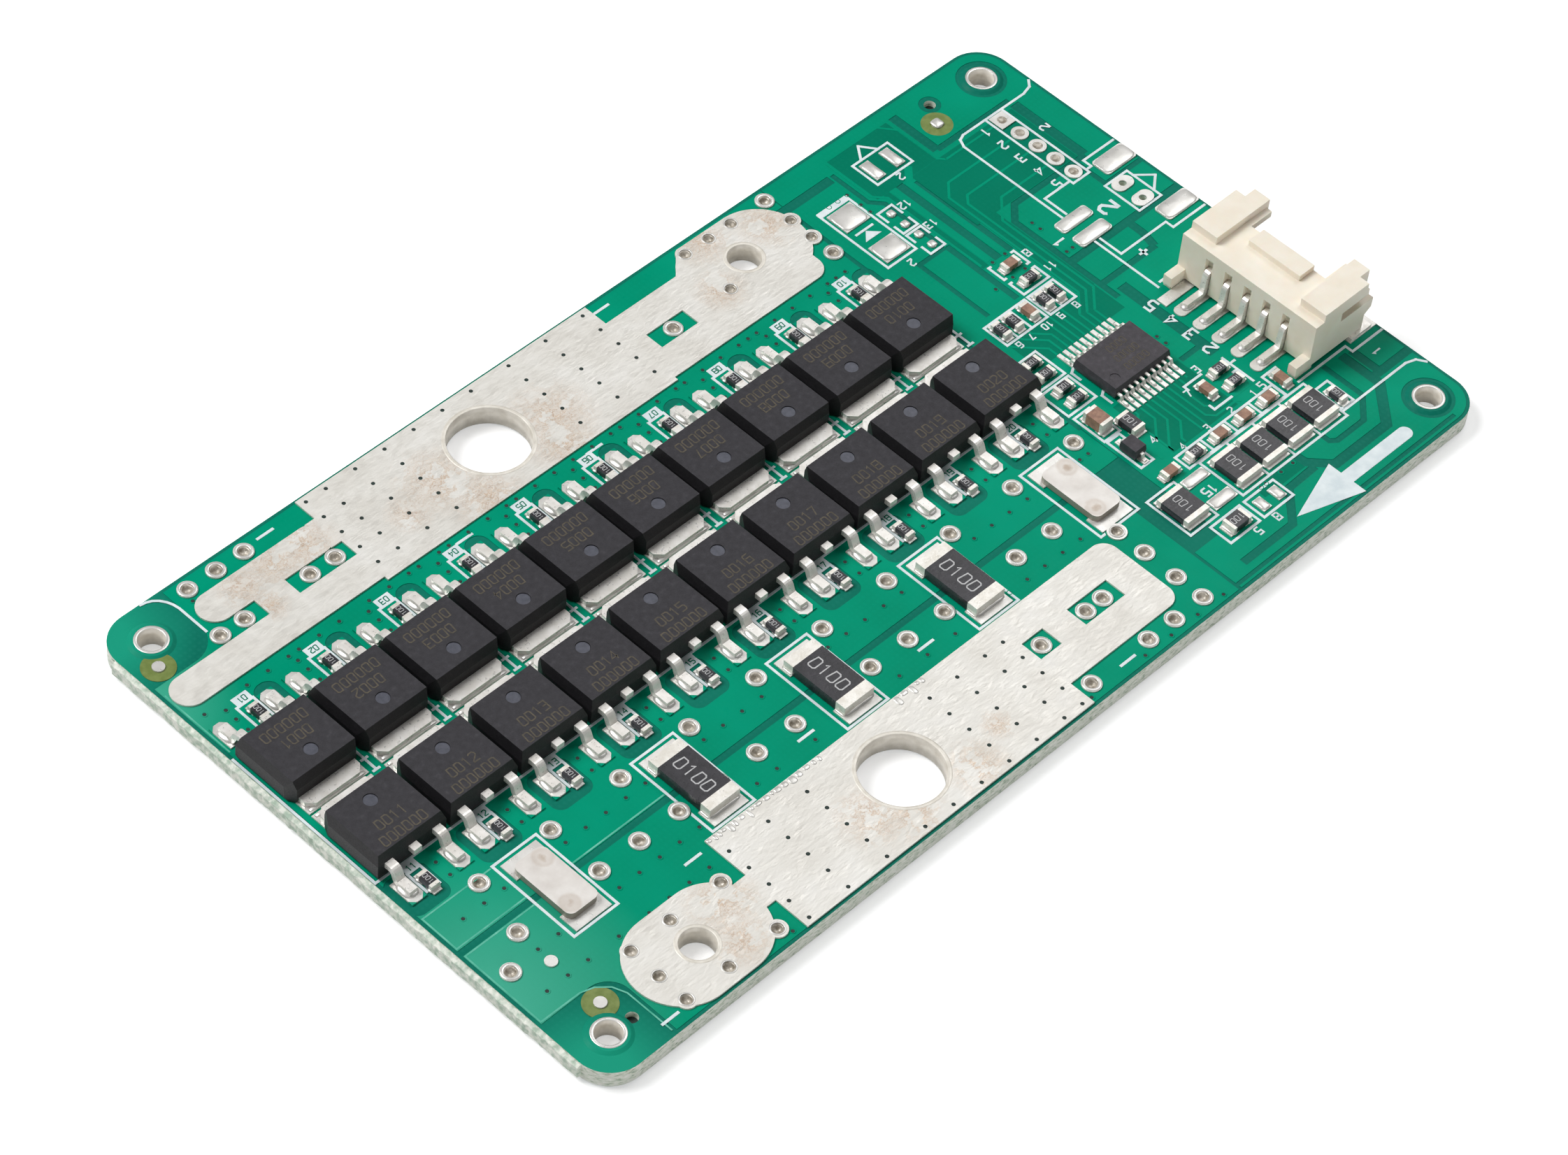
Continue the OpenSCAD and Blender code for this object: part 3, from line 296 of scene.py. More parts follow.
class Look:
    """A procedural material: colour from noise, with roughness and bump."""

    def __init__(self, name, **sockets):
        self.m = bpy.data.materials.new(name)
        self.m.use_nodes = True
        self.t = self.m.node_tree
        self.b = self.t.nodes["Principled BSDF"]
        for k, v in sockets.items():
            self.b.inputs[k.replace("_", " ")].default_value = v
        self.coord = self.node("ShaderNodeTexCoord").outputs["Object"]

    def node(self, kind, **values):
        n = self.t.nodes.new(kind)
        for k, v in values.items():
            setattr(n, k, v)
        return n

    def link(self, a, b):
        self.t.links.new(a, b)

    def noise(self, size, detail=3.0, rough=0.55, stretch=None):
        """Noise whose features are about size millimetres across."""
        n = self.node("ShaderNodeTexNoise")
        n.inputs["Scale"].default_value = 1 / (size * MM)
        n.inputs["Detail"].default_value = detail
        n.inputs["Roughness"].default_value = rough
        if stretch:
            m = self.node("ShaderNodeMapping")
            m.inputs["Scale"].default_value = stretch
            self.link(self.coord, m.inputs["Vector"])
            self.link(m.outputs[0], n.inputs["Vector"])
        else:
            self.link(self.coord, n.inputs["Vector"])
        return n.outputs["Fac"]

    def ramp(self, fac, *stops):
        r = self.node("ShaderNodeValToRGB")
        el = r.color_ramp.elements
        while len(el) < len(stops):
            el.new(0.5)
        for e, (pos, colour) in zip(el, stops):
            e.position = pos
            e.color = colour
        self.link(fac, r.inputs["Fac"])
        return r.outputs["Color"]

    def mix(self, fac, a, b):
        m = self.node("ShaderNodeMix", data_type="RGBA")
        for socket, v in ((m.inputs[0], fac), (m.inputs[6], a), (m.inputs[7], b)):
            if isinstance(v, tuple):
                socket.default_value = v
            else:
                self.link(v, socket)
        return m.outputs[2]

    def math(self, op, a, b=0.5):
        m = self.node("ShaderNodeMath", operation=op)
        m.use_clamp = op in ("MULTIPLY", "ADD", "SUBTRACT")
        for socket, v in zip(m.inputs, (a, b)):
            if isinstance(v, (float, int)):
                socket.default_value = v
            else:
                self.link(v, socket)
        return m.outputs[0]

    def spots(self, places, soft):
        """1 at each (x, y, radius) in mm, falling to 0 beyond it."""
        total = None
        flat = self.node("ShaderNodeVectorMath", operation="MULTIPLY")
        flat.inputs[1].default_value = (1, 1, 0)
        self.link(self.coord, flat.inputs[0])
        for x, y, r in places:
            d = self.node("ShaderNodeVectorMath", operation="DISTANCE")
            d.inputs[1].default_value = (x * MM, y * MM, 0)
            self.link(flat.outputs[0], d.inputs[0])
            f = self.node("ShaderNodeMapRange")
            f.inputs["From Min"].default_value = r * MM
            f.inputs["From Max"].default_value = r * (1 - soft) * MM
            self.link(d.outputs["Value"], f.inputs["Value"])
            one = f.outputs[0]
            total = one if total is None else self.math("MAXIMUM", total, one)
        return total

    def colour(self, c):
        self.link(c, self.b.inputs["Base Color"])

    def over(self, share, c):
        """Lays colour c over the present one, as strongly as share says."""
        shown = self.b.inputs["Base Color"].links[0].from_socket
        self.colour(self.mix(share, shown, c))

    def rough(self, fac, low, high):
        """Roughness from low to high over the middle of the noise's range."""
        r = self.node("ShaderNodeMapRange")
        r.inputs["To Min"].default_value = low
        r.inputs["To Max"].default_value = high
        r.inputs["From Min"].default_value = 0.3
        r.inputs["From Max"].default_value = 0.7
        self.link(fac, r.inputs["Value"])
        self.link(r.outputs[0], self.b.inputs["Roughness"])

    def bump(self, height, depth):
        """Relief of depth millimetres."""
        n = self.node("ShaderNodeBump")
        n.inputs["Distance"].default_value = depth * MM
        self.link(height, n.inputs["Height"])
        self.link(n.outputs[0], self.b.inputs["Normal"])

    def walls(self, other, amount):
        """Another colour on upright faces."""
        face = self.node("ShaderNodeSeparateXYZ")
        geometry = self.node("ShaderNodeNewGeometry")
        self.link(geometry.outputs["Normal"], face.inputs[0])
        up = self.math("ABSOLUTE", face.outputs["Z"])
        steep = self.math("LESS_THAN", up, 0.5)
        self.over(self.math("MULTIPLY", steep, amount), other)


def varied(name, a, b, size, rough, depth=0.0, **sockets):
    """Two colours in patches about size millimetres across."""
    k = Look(name, **sockets)
    k.colour(k.ramp(k.noise(size), (0.35, a), (0.65, b)))
    fine = k.noise(size * 0.3)
    k.rough(fine, *rough)
    if depth:
        k.bump(fine, depth)
    return k


def mask_look(name, light, dark, fibre):
    """Solder mask, with the weave of the laminate faintly in it."""
    k = Look(name, Specular_IOR_Level=0.03)
    threads = []
    for direction, scale in (("X", 700), ("Y", 620)):
        wave = k.node("ShaderNodeTexWave", bands_direction=direction)
        wave.inputs["Scale"].default_value = scale
        wave.inputs["Distortion"].default_value = 2
        k.link(k.coord, wave.inputs["Vector"])
        threads.append(wave.outputs["Fac"])
    k.colour(k.ramp(k.noise(9), (0.3, dark), (0.7, light)))
    k.over(k.math("MULTIPLY", k.math("MULTIPLY", *threads), 0.35), fibre)
    k.rough(k.noise(1.6), 0.26, 0.4)
    k.bump(k.noise(0.7), 0.004)
    return k


board = mask_look(
    "board", linear(20, 122, 102), linear(12, 108, 90), linear(30, 126, 108)
)
# Painted light: the mask is paler at the two left corners
painted_light_corners = board.spots([(-47.5, 26.5, 7), (-47.5, -26, 7)], soft=0.7)
board.over(board.math("MULTIPLY", painted_light_corners, 0.9), linear(30, 158, 128))
# The cut edge shows the bare laminate between the two coats of mask
fibres = board.ramp(
    board.noise(0.45, detail=6, stretch=(1, 1, 2.5)),
    (0.3, linear(146, 168, 146)),
    (0.45, linear(218, 225, 210)),
    (0.7, linear(248, 249, 243)),
)
board.walls(fibres, 1.0)

copper = mask_look(
    "masked_copper", linear(0, 153, 120), linear(0, 141, 108), linear(4, 151, 119)
)
# Painted light: the masked copper is paler towards the two left corners
painted_light_corners = copper.spots([(-50, -17, 14), (-50, 20, 8)], soft=0.8)
copper.over(copper.math("MULTIPLY", painted_light_corners, 0.65), linear(84, 182, 156))

# Brown flux left on the tin of the power lands: x, y, radius
STAINS = [
    (-36.6, 23.4, 2.4),
    (-30.5, 23.5, 3.4),
    (-33.4, 23.6, 3.0),
    (-36.3, 20.6, 1.8),
    (-18.6, 21.4, 4.0),
    (-22.5, 20.4, 2.2),
    (-16.9, 17.6, 3.8),
    (-7.6, 20.4, 4.2),
    (-8.8, 17.8, 3.6),
    (14.2, 25.9, 3.0),
    (19.6, 24.0, 3.2),
    (11.6, 21.2, 2.6),
    (-17.6, -23.2, 3.4),
    (-15.2, -25.2, 3.0),
    (-8.6, -25.4, 3.0),
    (-4.6, -23.6, 1.6),
    (-31.0, -21.4, 3.4),
    (-32.4, -24.6, 3.0),
]
tin = Look("tinned_copper", Metallic=0.2)
tin.colour(
    tin.ramp(
        tin.noise(3.2, detail=5),
        (0.25, linear(216, 212, 204)),
        (0.5, linear(227, 224, 217)),
        (0.8, linear(236, 234, 229)),
    )
)
blotch = tin.ramp(
    tin.noise(2.4, detail=8, rough=0.7),
    (0.42, grey(0)),
    (0.46, grey(0.2)),
    (0.475, grey(1)),
    (0.49, grey(0.35)),
    (0.535, grey(0.25)),
    (0.55, grey(1)),
    (0.565, grey(0.3)),
    (0.64, grey(0.1)),
)
brown = tin.ramp(
    tin.noise(0.6, detail=5), (0.3, linear(172, 132, 96)), (0.7, linear(212, 182, 150))
)
tin.over(tin.math("MULTIPLY", tin.spots(STAINS, soft=0.95), blotch), brown)
tin.rough(tin.noise(0.8), 0.3, 0.52)
tin.bump(tin.noise(0.9, detail=2, stretch=(1, 2.2, 1)), 0.05)

solder = varied(
    "solder",
    linear(210, 208, 203),
    linear(232, 230, 226),
    1.6,
    Metallic=0.35,
    rough=(0.26, 0.36),
)
plating = varied(
    "hole_plating",
    linear(218, 212, 200),
    linear(238, 233, 223),
    0.8,
    Metallic=0.15,
    rough=(0.35, 0.5),
    depth=0.004,
)
ink = varied(
    "white_print",
    linear(214, 226, 230),
    linear(232, 241, 243),
    1.2,
    rough=(0.5, 0.65),
    depth=0.004,
)


def moulding(name, a, b, speck):
    """Filled plastic with a fine grain."""
    k = Look(name)
    k.colour(k.ramp(k.noise(0.5, detail=4), (0.35, a), (0.6, b), (0.8, speck)))
    k.rough(k.noise(0.12), 0.48, 0.64)
    k.bump(k.noise(0.1, detail=2), 0.012)
    return k


black = moulding(
    "transistor_moulding", linear(31, 29, 35), linear(41, 39, 45), linear(58, 56, 62)
)
# Painted shade: the upright faces of the mouldings are darkened towards black
black.walls(linear(10, 9, 11), 0.8)
chip_black = moulding(
    "chip_moulding", linear(52, 49, 54), linear(64, 60, 66), linear(80, 77, 82)
)
lead = varied(
    "lead_metal",
    linear(228, 224, 217),
    linear(245, 242, 237),
    0.9,
    Metallic=0.35,
    rough=(0.25, 0.42),
    depth=0.006,
)
ends = varied(
    "end_metal",
    linear(224, 219, 209),
    linear(242, 239, 232),
    0.6,
    Metallic=0.3,
    rough=(0.25, 0.45),
    depth=0.01,
)
nylon = varied(
    "connector_nylon",
    linear(242, 232, 214),
    linear(247, 239, 224),
    2.2,
    rough=(0.42, 0.55),
    depth=0.006,
    Subsurface_Weight=0.12,
    Subsurface_Scale=0.001,
)
glaze = varied(
    "resistor_coat",
    linear(30, 29, 34),
    linear(46, 44, 50),
    0.6,
    rough=(0.25, 0.4),
    depth=0.006,
)
cap = Look("capacitor_ceramic", Roughness=0.5)
cap.colour(
    cap.ramp(
        cap.noise(0.35, detail=4),
        (0.3, linear(132, 100, 86)),
        (0.55, linear(158, 121, 101)),
        (0.8, linear(176, 141, 119)),
    )
)
cap.bump(cap.noise(0.15), 0.01)

# Bright plate with a brown tide mark at each end; its cut sides are duller metal, darkened
# further by painted shade
plate = Look("jumper_metal", Metallic=0.3)
tides = [
    (x + s * 0.7, y + s * 2.1, 0.95)
    for x, y in middles("jumper_plates")
    for s in (1, -1)
]
uneven = plate.noise(0.9, detail=5)
tide = plate.ramp(
    plate.math("MULTIPLY", plate.spots(tides, soft=0.9), uneven),
    (0.0, grey(0)),
    (0.12, grey(0.3)),
    (0.3, grey(0.2)),
    (0.55, grey(0.75)),
)
plate.colour(
    plate.ramp(
        plate.noise(1.4), (0.3, linear(216, 210, 204)), (0.7, linear(233, 229, 224))
    )
)
plate.over(tide, linear(176, 154, 132))
# Painted shade on the upright cut sides, over their duller metal
plate.walls(linear(132, 122, 108), 0.8)
plate.rough(plate.noise(0.9), 0.36, 0.52)
plate.bump(plate.noise(0.5), 0.01)

# Each CAD node takes the look of its material slot
LOOKS = {
    "board": board,
    "masked_copper": copper,
    "tinned_copper": tin,
    "solder": solder,
    "white_print": ink,
    "transistor_moulding": black,
    "lead_metal": lead,
    "connector_nylon": nylon,
    "chip_moulding": chip_black,
    "resistor_coat": glaze,
    "end_metal": ends,
    "jumper_metal": plate,
    "capacitor_ceramic": cap,
}
for part in frame["record"]["subparts"]:
    slots = nodes[part["node"]].data.materials
    slots.clear()
    slots.append(LOOKS[part["material_slot"]].m)

# Painted shadow: a dark colour put in holes and via mouths, where shade falls
hole_dark = varied(
    "hole_shadow", linear(18, 34, 30), linear(30, 52, 46), 0.5, rough=(0.5, 0.7)
)
old_solder = varied(
    "old_solder",
    linear(142, 133, 118),
    linear(206, 199, 187),
    0.4,
    Metallic=0.2,
    rough=(0.25, 0.45),
    depth=0.02,
)
inner_green = mask_look(
    "inner_copper", linear(0, 126, 99), linear(0, 117, 91), linear(6, 127, 100)
)
thin_mask_highlight = varied(
    "thin_mask_highlight", linear(52, 170, 142), linear(104, 194, 170), 1.8, rough=(0.4, 0.5)
)
bare = varied(
    "bare_laminate",
    linear(104, 122, 52),
    linear(122, 138, 70),
    0.5,
    rough=(0.35, 0.5),
)
torn = varied(
    "torn_laminate",
    linear(176, 196, 178),
    linear(242, 244, 234),
    0.5,
    rough=(0.7, 0.85),
    depth=0.04,
)
chip_ink = varied(
    "chip_ink", linear(178, 178, 180), linear(200, 200, 200), 0.3, rough=(0.5, 0.6)
)
etched = varied(
    "laser_marks", linear(70, 64, 54), linear(90, 82, 68), 0.3, rough=(0.6, 0.75)
)
polished = varied(
    "ejector_marks", linear(70, 72, 82), linear(84, 86, 97), 0.4, rough=(0.3, 0.4)
)

# ---------- measured places, in millimetres ----------
# Stitching holes, from the middle of the round end that they are in
P_LOBE_HOLES = [(-3.27, 3.4), (-0.65, 3.4), (1.85, 3.4), (-3.27, -1.7)]
P_LOBE_HOLES += [(5.75, 0.46), (5.67, -1.96)]
B_LOBE_HOLES = [(-3.93, 2.74), (0.03, 2.8), (5.03, 2.74), (-3.98, -0.14)]
B_LOBE_HOLES += [(-3.98, -2.87), (0.2, -2.9), (5.1, -2.87)]
# Areas of deeper green among the traces: x0, y0, x1, y1
DEEPER_GREEN = [
    (25.5, -14.35, 33.1, -8.0),
    (24.3, -1.4, 34.3, 1.95),
    (32.2, 12.65, 44.15, 19.99),
    (32.6, 1.96, 34.4, 12.64),
    (28.95, 9.0, 29.6, 20.0),
    (28.3, 20.01, 35.2, 25.7),
    (27.3, -22.2, 32.0, -20.9),
]
# Width, then the path's points
TRACES = [
    (0.2, [(28.1, 25.6), (28.1, 20.6), (29.05, 19.6), (29.05, 9.3)]),
    (0.2, [(28.4, 25.8), (34.2, 25.8), (35.35, 24.4), (35.35, 20), (35.8, 19.5)]),
    (0.2, [(35.8, 19.5), (41.4, 19.5)]),
    (0.22, [(41.6, 17.55), (34, 17.55), (32.75, 16.3), (32.75, 2.2), (31, 0.45)]),
    (0.22, [(41.6, 15.55), (34.1, 15.55), (33.4, 14.8), (33.4, 2), (31.63, 0.23)]),
    (0.22, [(41.6, 13.55), (36, 13.55), (34.1, 11.65), (34.1, 1.8), (32.28, 0)]),
    (0.2, [(31, 0.45), (31, -1.3)]),
    (0.2, [(31.63, 0.23), (31.63, -1.3)]),
    (0.2, [(32.28, 0), (32.28, -1.3)]),
    (0.7, [(30, 9.3), (30, 19.9)]),
    (0.66, [(31.55, 9.3), (31.55, 19.6), (32.9, 21)]),
    (0.2, [(30.33, -9.3), (30.33, -13.4), (30.9, -14), (33.3, -14), (33.6, -14.3)]),
    (0.2, [(30.98, -9.3), (30.98, -12.7), (31.9, -13.62), (36.2, -13.62)]),
    (0.2, [(31.63, -9.3), (31.63, -10.2)]),
    (0.2, [(32.28, -9.3), (32.28, -9.8)]),
]
POSITION_MARKS = [(-46.13, 21.75), (38.24, 22.81), (-43.44, -21.73)]
CORNER_LINE = [(-43.3, 27.15), (-42.75, 27.05), (-42.3, 26.85), (-41.9, 26.5)]
CORNER_LINE += [(-41.6, 26.05), (-41.4, 25.55), (-41.3, 25.0), (-41.3, 21.9)]
# Where the mask climbs over the edge of a copper area, it is thinner and paler, with a
# painted highlight along the ridge
RIDGES = [
    [(-41.0, -8.05), (-47.6, -8.05), (-47.6, -11.58), (-40.9, -11.58)],
    [(-36.4, -11.62), (-27.2, -11.62)],
    [(-40.9, -12.45), (-47.6, -12.45), (-47.6, -20.1), (-43.9, -20.15)]
    + [(-42.8, -20.5), (-41.9, -21.3), (-41.45, -22.4), (-41.4, -26.8)],
    [(-47.55, 19.4), (-47.55, 12.3)],
]
# Vias: y of a row, then the x of each
VIAS = [
    (
        16.15,
        [-46.6, -42.5, -40.46, -38.45, -37.43, -35.44, -33.45, -30.46, -28.45]
        + [-26.48, -25.48, -23.4, -22.4, -20.4, -18.4, -16.45, -15.44, -13.46]
        + [-11.45, -9.46, -7.45, -5.46, -4.46, -2.45, -0.44, 1.58, 2.53, 4.52]
        + [6.5, 8.5, 9.54, 10.49, 12.53, 14.52, 16.5, 18.5, 19.46, 20.5],
    ),
    (
        -9.97,
        [-45.46, -43.42, -41.48, -35.44, -33.44, -31.42, -29.42, -27.44, -21.48]
        + [-19.48, -17.5, -15.46, -8.44, -6.48, -4.46, -2.44, -0.48, 7.52, 9.5]
        + [11.48, 13.5, 19.5, 20.46],
    ),
    (
        -15.46,
        [-43.42, -41.44, -35.44, -33.44, -31.4, -29.4, -27.4, -21.5, -19.44]
        + [-15.44, -6.5, -3.46, -0.44, 5.54, 7.52, 9.5, 11.5, 13.5],
    ),
    (-18.5, [-45.46, -43.44, -41.48, -38.46, -35.44, -33.44, -31.44, -29.44]),
    (-26.5, [-29.1, 2.56, 8.56, 11.5, 14.5, 17.46]),
    (24.85, [-40.1]),
    (9.0, [30.05, 31.5, 35.7]),
    (6.8, [30.05, 31.5, 28.05]),
    (5.85, [35.4, 36.1]),
    (9.9, [35.7]),
    (22.0, [24.7, 25.7, 26.8]),
    (20.5, [26.85]),
    (19.45, [26.85]),
    (-5.25, [33.8]),
    (-6.2, [33.8]),
    (-21.3, [27.8, 28.4, 30.2, 31.6]),
]
# Plain numbers beside the parts: text, x, y, height, angle
NUMBERS = [
    ("2", 31.6, 20.6, 0.7, 180),
    ("12", 29.5, 18.2, 0.7, 180),
    ("13", 29.5, 15.3, 0.7, 180),
    ("2", 25.2, 13.3, 0.7, 180),
    ("8", 32.9, 7.9, 0.7, 180),
    ("11", 33.2, 5.7, 0.7, 180),
    ("6", 25.0, 1.4, 0.6, 180),
    ("7", 26.4, 1.4, 0.6, 180),
    ("10", 28.2, 1.4, 0.6, 180),
    ("9", 29.8, 1.4, 0.6, 180),
    ("8", 31.6, 1.4, 0.6, 180),
    ("1", 36.0, -11.1, 1.1, 90),
    ("2", 36.0, -8.9, 1.1, 90),
    ("3", 36.0, -6.9, 1.1, 90),
    ("4", 36.0, -4.8, 1.1, 90),
    ("5", 36.0, -2.7, 1.1, 90),
    ("+", 39.9, 1.7, 1.2, 0),
    ("1", 35.8, 7.0, 1.1, 90),
    ("2", 41.6, 7.0, 1.5, 90),
    ("4", 25.3, -12.4, 0.7, 0),
    ("7", 31.0, -11.0, 0.7, 0),
    ("3", 33.4, -9.7, 0.7, 0),
    ("5", 36.0, -14.3, 0.7, 0),
    ("4", 26.5, -14.4, 0.6, 0),
    ("3", 29.4, -14.4, 0.6, 0),
    ("2", 32.2, -14.4, 0.6, 0),
    ("1", 34.9, -14.4, 0.6, 0),
    ("15", 24.6, -18.8, 0.8, 180),
    ("5", 24.3, -24.1, 0.7, 180),
    ("8", 26.5, -24.1, 0.7, 180),
    ("1", 45.7, -18.0, 0.8, 90),
    ("2", 44.6, 16.7, 0.8, 90),
]
NUMBERS += [
    (str(i + 1), HEADER[0] - 2, HEADER[1] - HEADER_PITCH * i, 0.85, 180)
    for i in range(5)
]

# ---------- camera, light and floor ----------
cam = bpy.data.cameras.new("camera")
cam.sensor_width = 36
cam.sensor_fit = "HORIZONTAL"
cam.lens = 114.545
camera = bpy.data.objects.new("camera", cam)
bpy.context.scene.collection.objects.link(camera)
bpy.context.scene.camera = camera
ahead = Vector((0.50360604, 0.42024647, -0.75483366)).normalized()
across = Vector((0.69799619, -0.712784, 0.06884979)).normalized()
above = across.cross(ahead)
turn = Matrix((across, above, -ahead)).transposed().to_4x4()
camera.matrix_world = Matrix.Translation((-0.194298, -0.160132, 0.283907)) @ turn

bpy.context.scene.view_settings.view_transform = "Standard"


def seen(tree):
    """1 where a surface is seen, directly or mirrored, and 0 where it only lights."""
    rays = tree.nodes.new("ShaderNodeLightPath")
    most = tree.nodes.new("ShaderNodeMath")
    most.operation = "MAXIMUM"
    tree.links.new(rays.outputs["Is Camera Ray"], most.inputs[0])
    tree.links.new(rays.outputs["Is Glossy Ray"], most.inputs[1])
    return most.outputs[0]


world = bpy.data.worlds.new("studio")
bpy.context.scene.world = world
world.use_nodes = True
sky = world.node_tree
level = sky.nodes.new("ShaderNodeMapRange")
level.inputs["To Min"].default_value = 0.88
level.inputs["To Max"].default_value = 1.0
sky.links.new(seen(sky), level.inputs["Value"])
sky.links.new(level.outputs[0], sky.nodes["Background"].inputs["Strength"])


def lamp(name, place, size, power):
    data = bpy.data.lights.new(name, "AREA")
    data.shape = "RECTANGLE"
    data.size, data.size_y = size
    data.energy = power
    o = bpy.data.objects.new(name, data)
    bpy.context.scene.collection.objects.link(o)
    o.location = place
    o.rotation_euler = (-Vector(place)).to_track_quat("-Z", "Y").to_euler()


lamp("key", (-0.3, 0.45, 0.7), (0.4, 0.4), 6.6)
lamp("fill", (0.5, 0.1, 0.7), (0.5, 0.5), 2.6)
lamp("front", (-0.25, -0.6, 0.16), (0.6, 0.25), 1.2)

floor_look = bpy.data.materials.new("floor")
floor_look.use_nodes = True
ground = floor_look.node_tree
matt = ground.nodes["Principled BSDF"]
matt.inputs["Base Color"].default_value = (0.7, 0.7, 0.7, 1)
matt.inputs["Roughness"].default_value = 0.9
matt.inputs["Specular IOR Level"].default_value = 0.0
share = ground.nodes.new("ShaderNodeMath")
share.operation = "MULTIPLY"
share.inputs[1].default_value = 0.5
glow = ground.nodes.new("ShaderNodeEmission")
both = ground.nodes.new("ShaderNodeAddShader")
ground.links.new(seen(ground), share.inputs[0])
ground.links.new(share.outputs[0], glow.inputs["Strength"])
ground.links.new(matt.outputs[0], both.inputs[0])
ground.links.new(glow.outputs[0], both.inputs[1])
ground.links.new(both.outputs[0], ground.nodes["Material Output"].inputs["Surface"])
FLOOR = 4.0
floor_mesh = bpy.data.meshes.new("floor")
floor_mesh.from_pydata(
    [(FLOOR * x, FLOOR * y, 0) for x, y in ((-1, -1), (1, -1), (1, 1), (-1, 1))],
    [],
    [(0, 1, 2, 3)],
)
floor = bpy.data.objects.new("floor", floor_mesh)
floor.location.z = cad_low[2] - 0.0002
bpy.context.scene.collection.objects.link(floor)
floor_mesh.materials.append(floor_look)


# ---------- what the trim follows ----------
class Transistor:
    """Where one transistor stands. s is 1 where its leads point to +y, else -1."""

    def __init__(self, i):
        self.number = i
        self.first = i <= FIRST_ROW
        self.s = 1 if self.first else -1
        body = extent(f"mosfet_body_{i:02d}")
        self.x, self.y = ((a + b) / 2 for a, b in zip(body[0][:2], body[1][:2]))
        self.top = body[1].z
        self.leads = [self.x - LEAD_X, self.x + LEAD_X]
        ends = [corner.y for corner in extent(f"mosfet_frame_{i:02d}")]
        self.tab, self.tip = ends if self.first else ends[::-1]


transistors = [Transistor(i) for i in range(1, 2 * FIRST_ROW + 1)]
lands = parts_of("solder_lands")

# ---------- solder ----------
pool = Build()
for t in transistors:
    y0, y1 = sorted((t.tip - t.s * 1.5, t.tip + t.s * 0.22))
    for x in t.leads:
        pool.mound(x - 0.66, y0, x + 0.66, y1, PAD, 0.24, tilt=(0, -0.3 * t.s))
    # drawn up along the tab's end
    y0, y1 = sorted((t.tab - t.s * 0.13, t.tab + t.s * 0.3))
    pool.mound(t.x - 2.7, y0, t.x + 2.7, y1, PAD, 0.22, n=6, power=6)
for x0, y0, z0, x1, y1, z1 in parts_of("chip_terminals"):
    pool.mound(x0 - 0.14, y0 - 0.1, x1 + 0.14, y1 + 0.1, PAD, 0.13, n=4, power=5)
for x0, y0, z0, x1, y1, z1 in parts_of("shunt_terminals"):
    pool.mound(x0 - 0.1, y0 - 0.2, x1 + 0.1, y1 + 0.2, PAD, 0.18, n=6, power=7)
for x0, y0, z0, x1, y1, z1 in parts_of("connector_pins"):
    pool.mound(x0 - 0.3, y0 - 0.22, x0 + 1.3, y1 + 0.22, PAD, 0.3, n=5)
inner_row = (extent("controller_leads")[0].y + extent("controller_leads")[1].y) / 2
for x0, y0, z0, x1, y1, z1 in parts_of("controller_leads"):
    s, tip = (1, y1) if y0 > inner_row else (-1, y0)
    y0, y1 = sorted((tip - s * 0.35, tip + s * 0.18))
    pool.mound(x0 - 0.05, y0, x1 + 0.05, y1, PAD, 0.12, n=4)
pool.done("solder_pools", solder.m)

# ---------- holes: plated walls, rims, and the solder in them ----------
barrel = Build()
rims = Build()
plugs = Build()
collar = Build()


def square_lands(side, slack):
    """Middles of the small lands that are side millimetres each way."""
    return [
        ((x0 + x1) / 2, (y0 + y1) / 2)
        for x0, y0, z0, x1, y1, z1 in lands
        if abs(x1 - x0 - side) < slack and abs(y1 - y0 - side) < slack
    ]


for x, y in square_lands(RING, 0.03):
    rims.tube(x, y, 0.78, 0.5, PAD - 0.05, PAD + 0.04, lip=0.03)
    plugs.bowl(x, y, STITCH_HOLE, PAD + 0.01, 0.42)
for x, y in square_lands(MOUNT_LAND, 0.06):
    barrel.tube(x, y, 1.149, 1.06, 0.0, PAD, n=48)
    rims.tube(x, y, 1.34, 1.06, PAD - 0.01, PAD + 0.02, n=48, lip=0.015)
    # the mask climbs over the outer part of the land
    slope = [(1.33, MASK - 0.04), (1.33, PAD + 0.01), (1.56, PAD + 0.008)]
    collar.lathe(x, y, slope + [(1.85, MASK - 0.04)], n=64)
for (x, y), hole, wall, rim, n in (
    ((BIG_HOLE_X, P_EDGE - 5.45), 3.449, 3.36, 3.68, 96),
    ((BIG_HOLE_X, B_EDGE + 5.45), 3.449, 3.36, 3.68, 96),
    (P_LOBE, 1.499, 1.42, 1.73, 64),
    (B_LOBE, 1.499, 1.42, 1.73, 64),
):
    barrel.tube(x, y, hole, wall, 0.0, LAND, n=n)
    barrel.tube(x, y, rim, wall, LAND - 0.01, LAND + 0.008, n=n, lip=0.006)
in_lands = [(16.08, -16.88)]
in_lands += [(P_LOBE[0] + dx, P_LOBE[1] + dy) for dx, dy in P_LOBE_HOLES]
in_lands += [(B_LOBE[0] + dx, B_LOBE[1] + dy) for dx, dy in B_LOBE_HOLES]
for x, y in in_lands:
    rims.tube(x, y, 0.62, 0.48, LAND - 0.01, LAND + 0.03, lip=0.025)
    plugs.bowl(x, y, STITCH_HOLE, LAND + 0.01, 0.42)
for i in range(5):
    plugs.bowl(HEADER[0], HEADER[1] - HEADER_PITCH * i, 0.42, PAD + 0.01, 0.12)
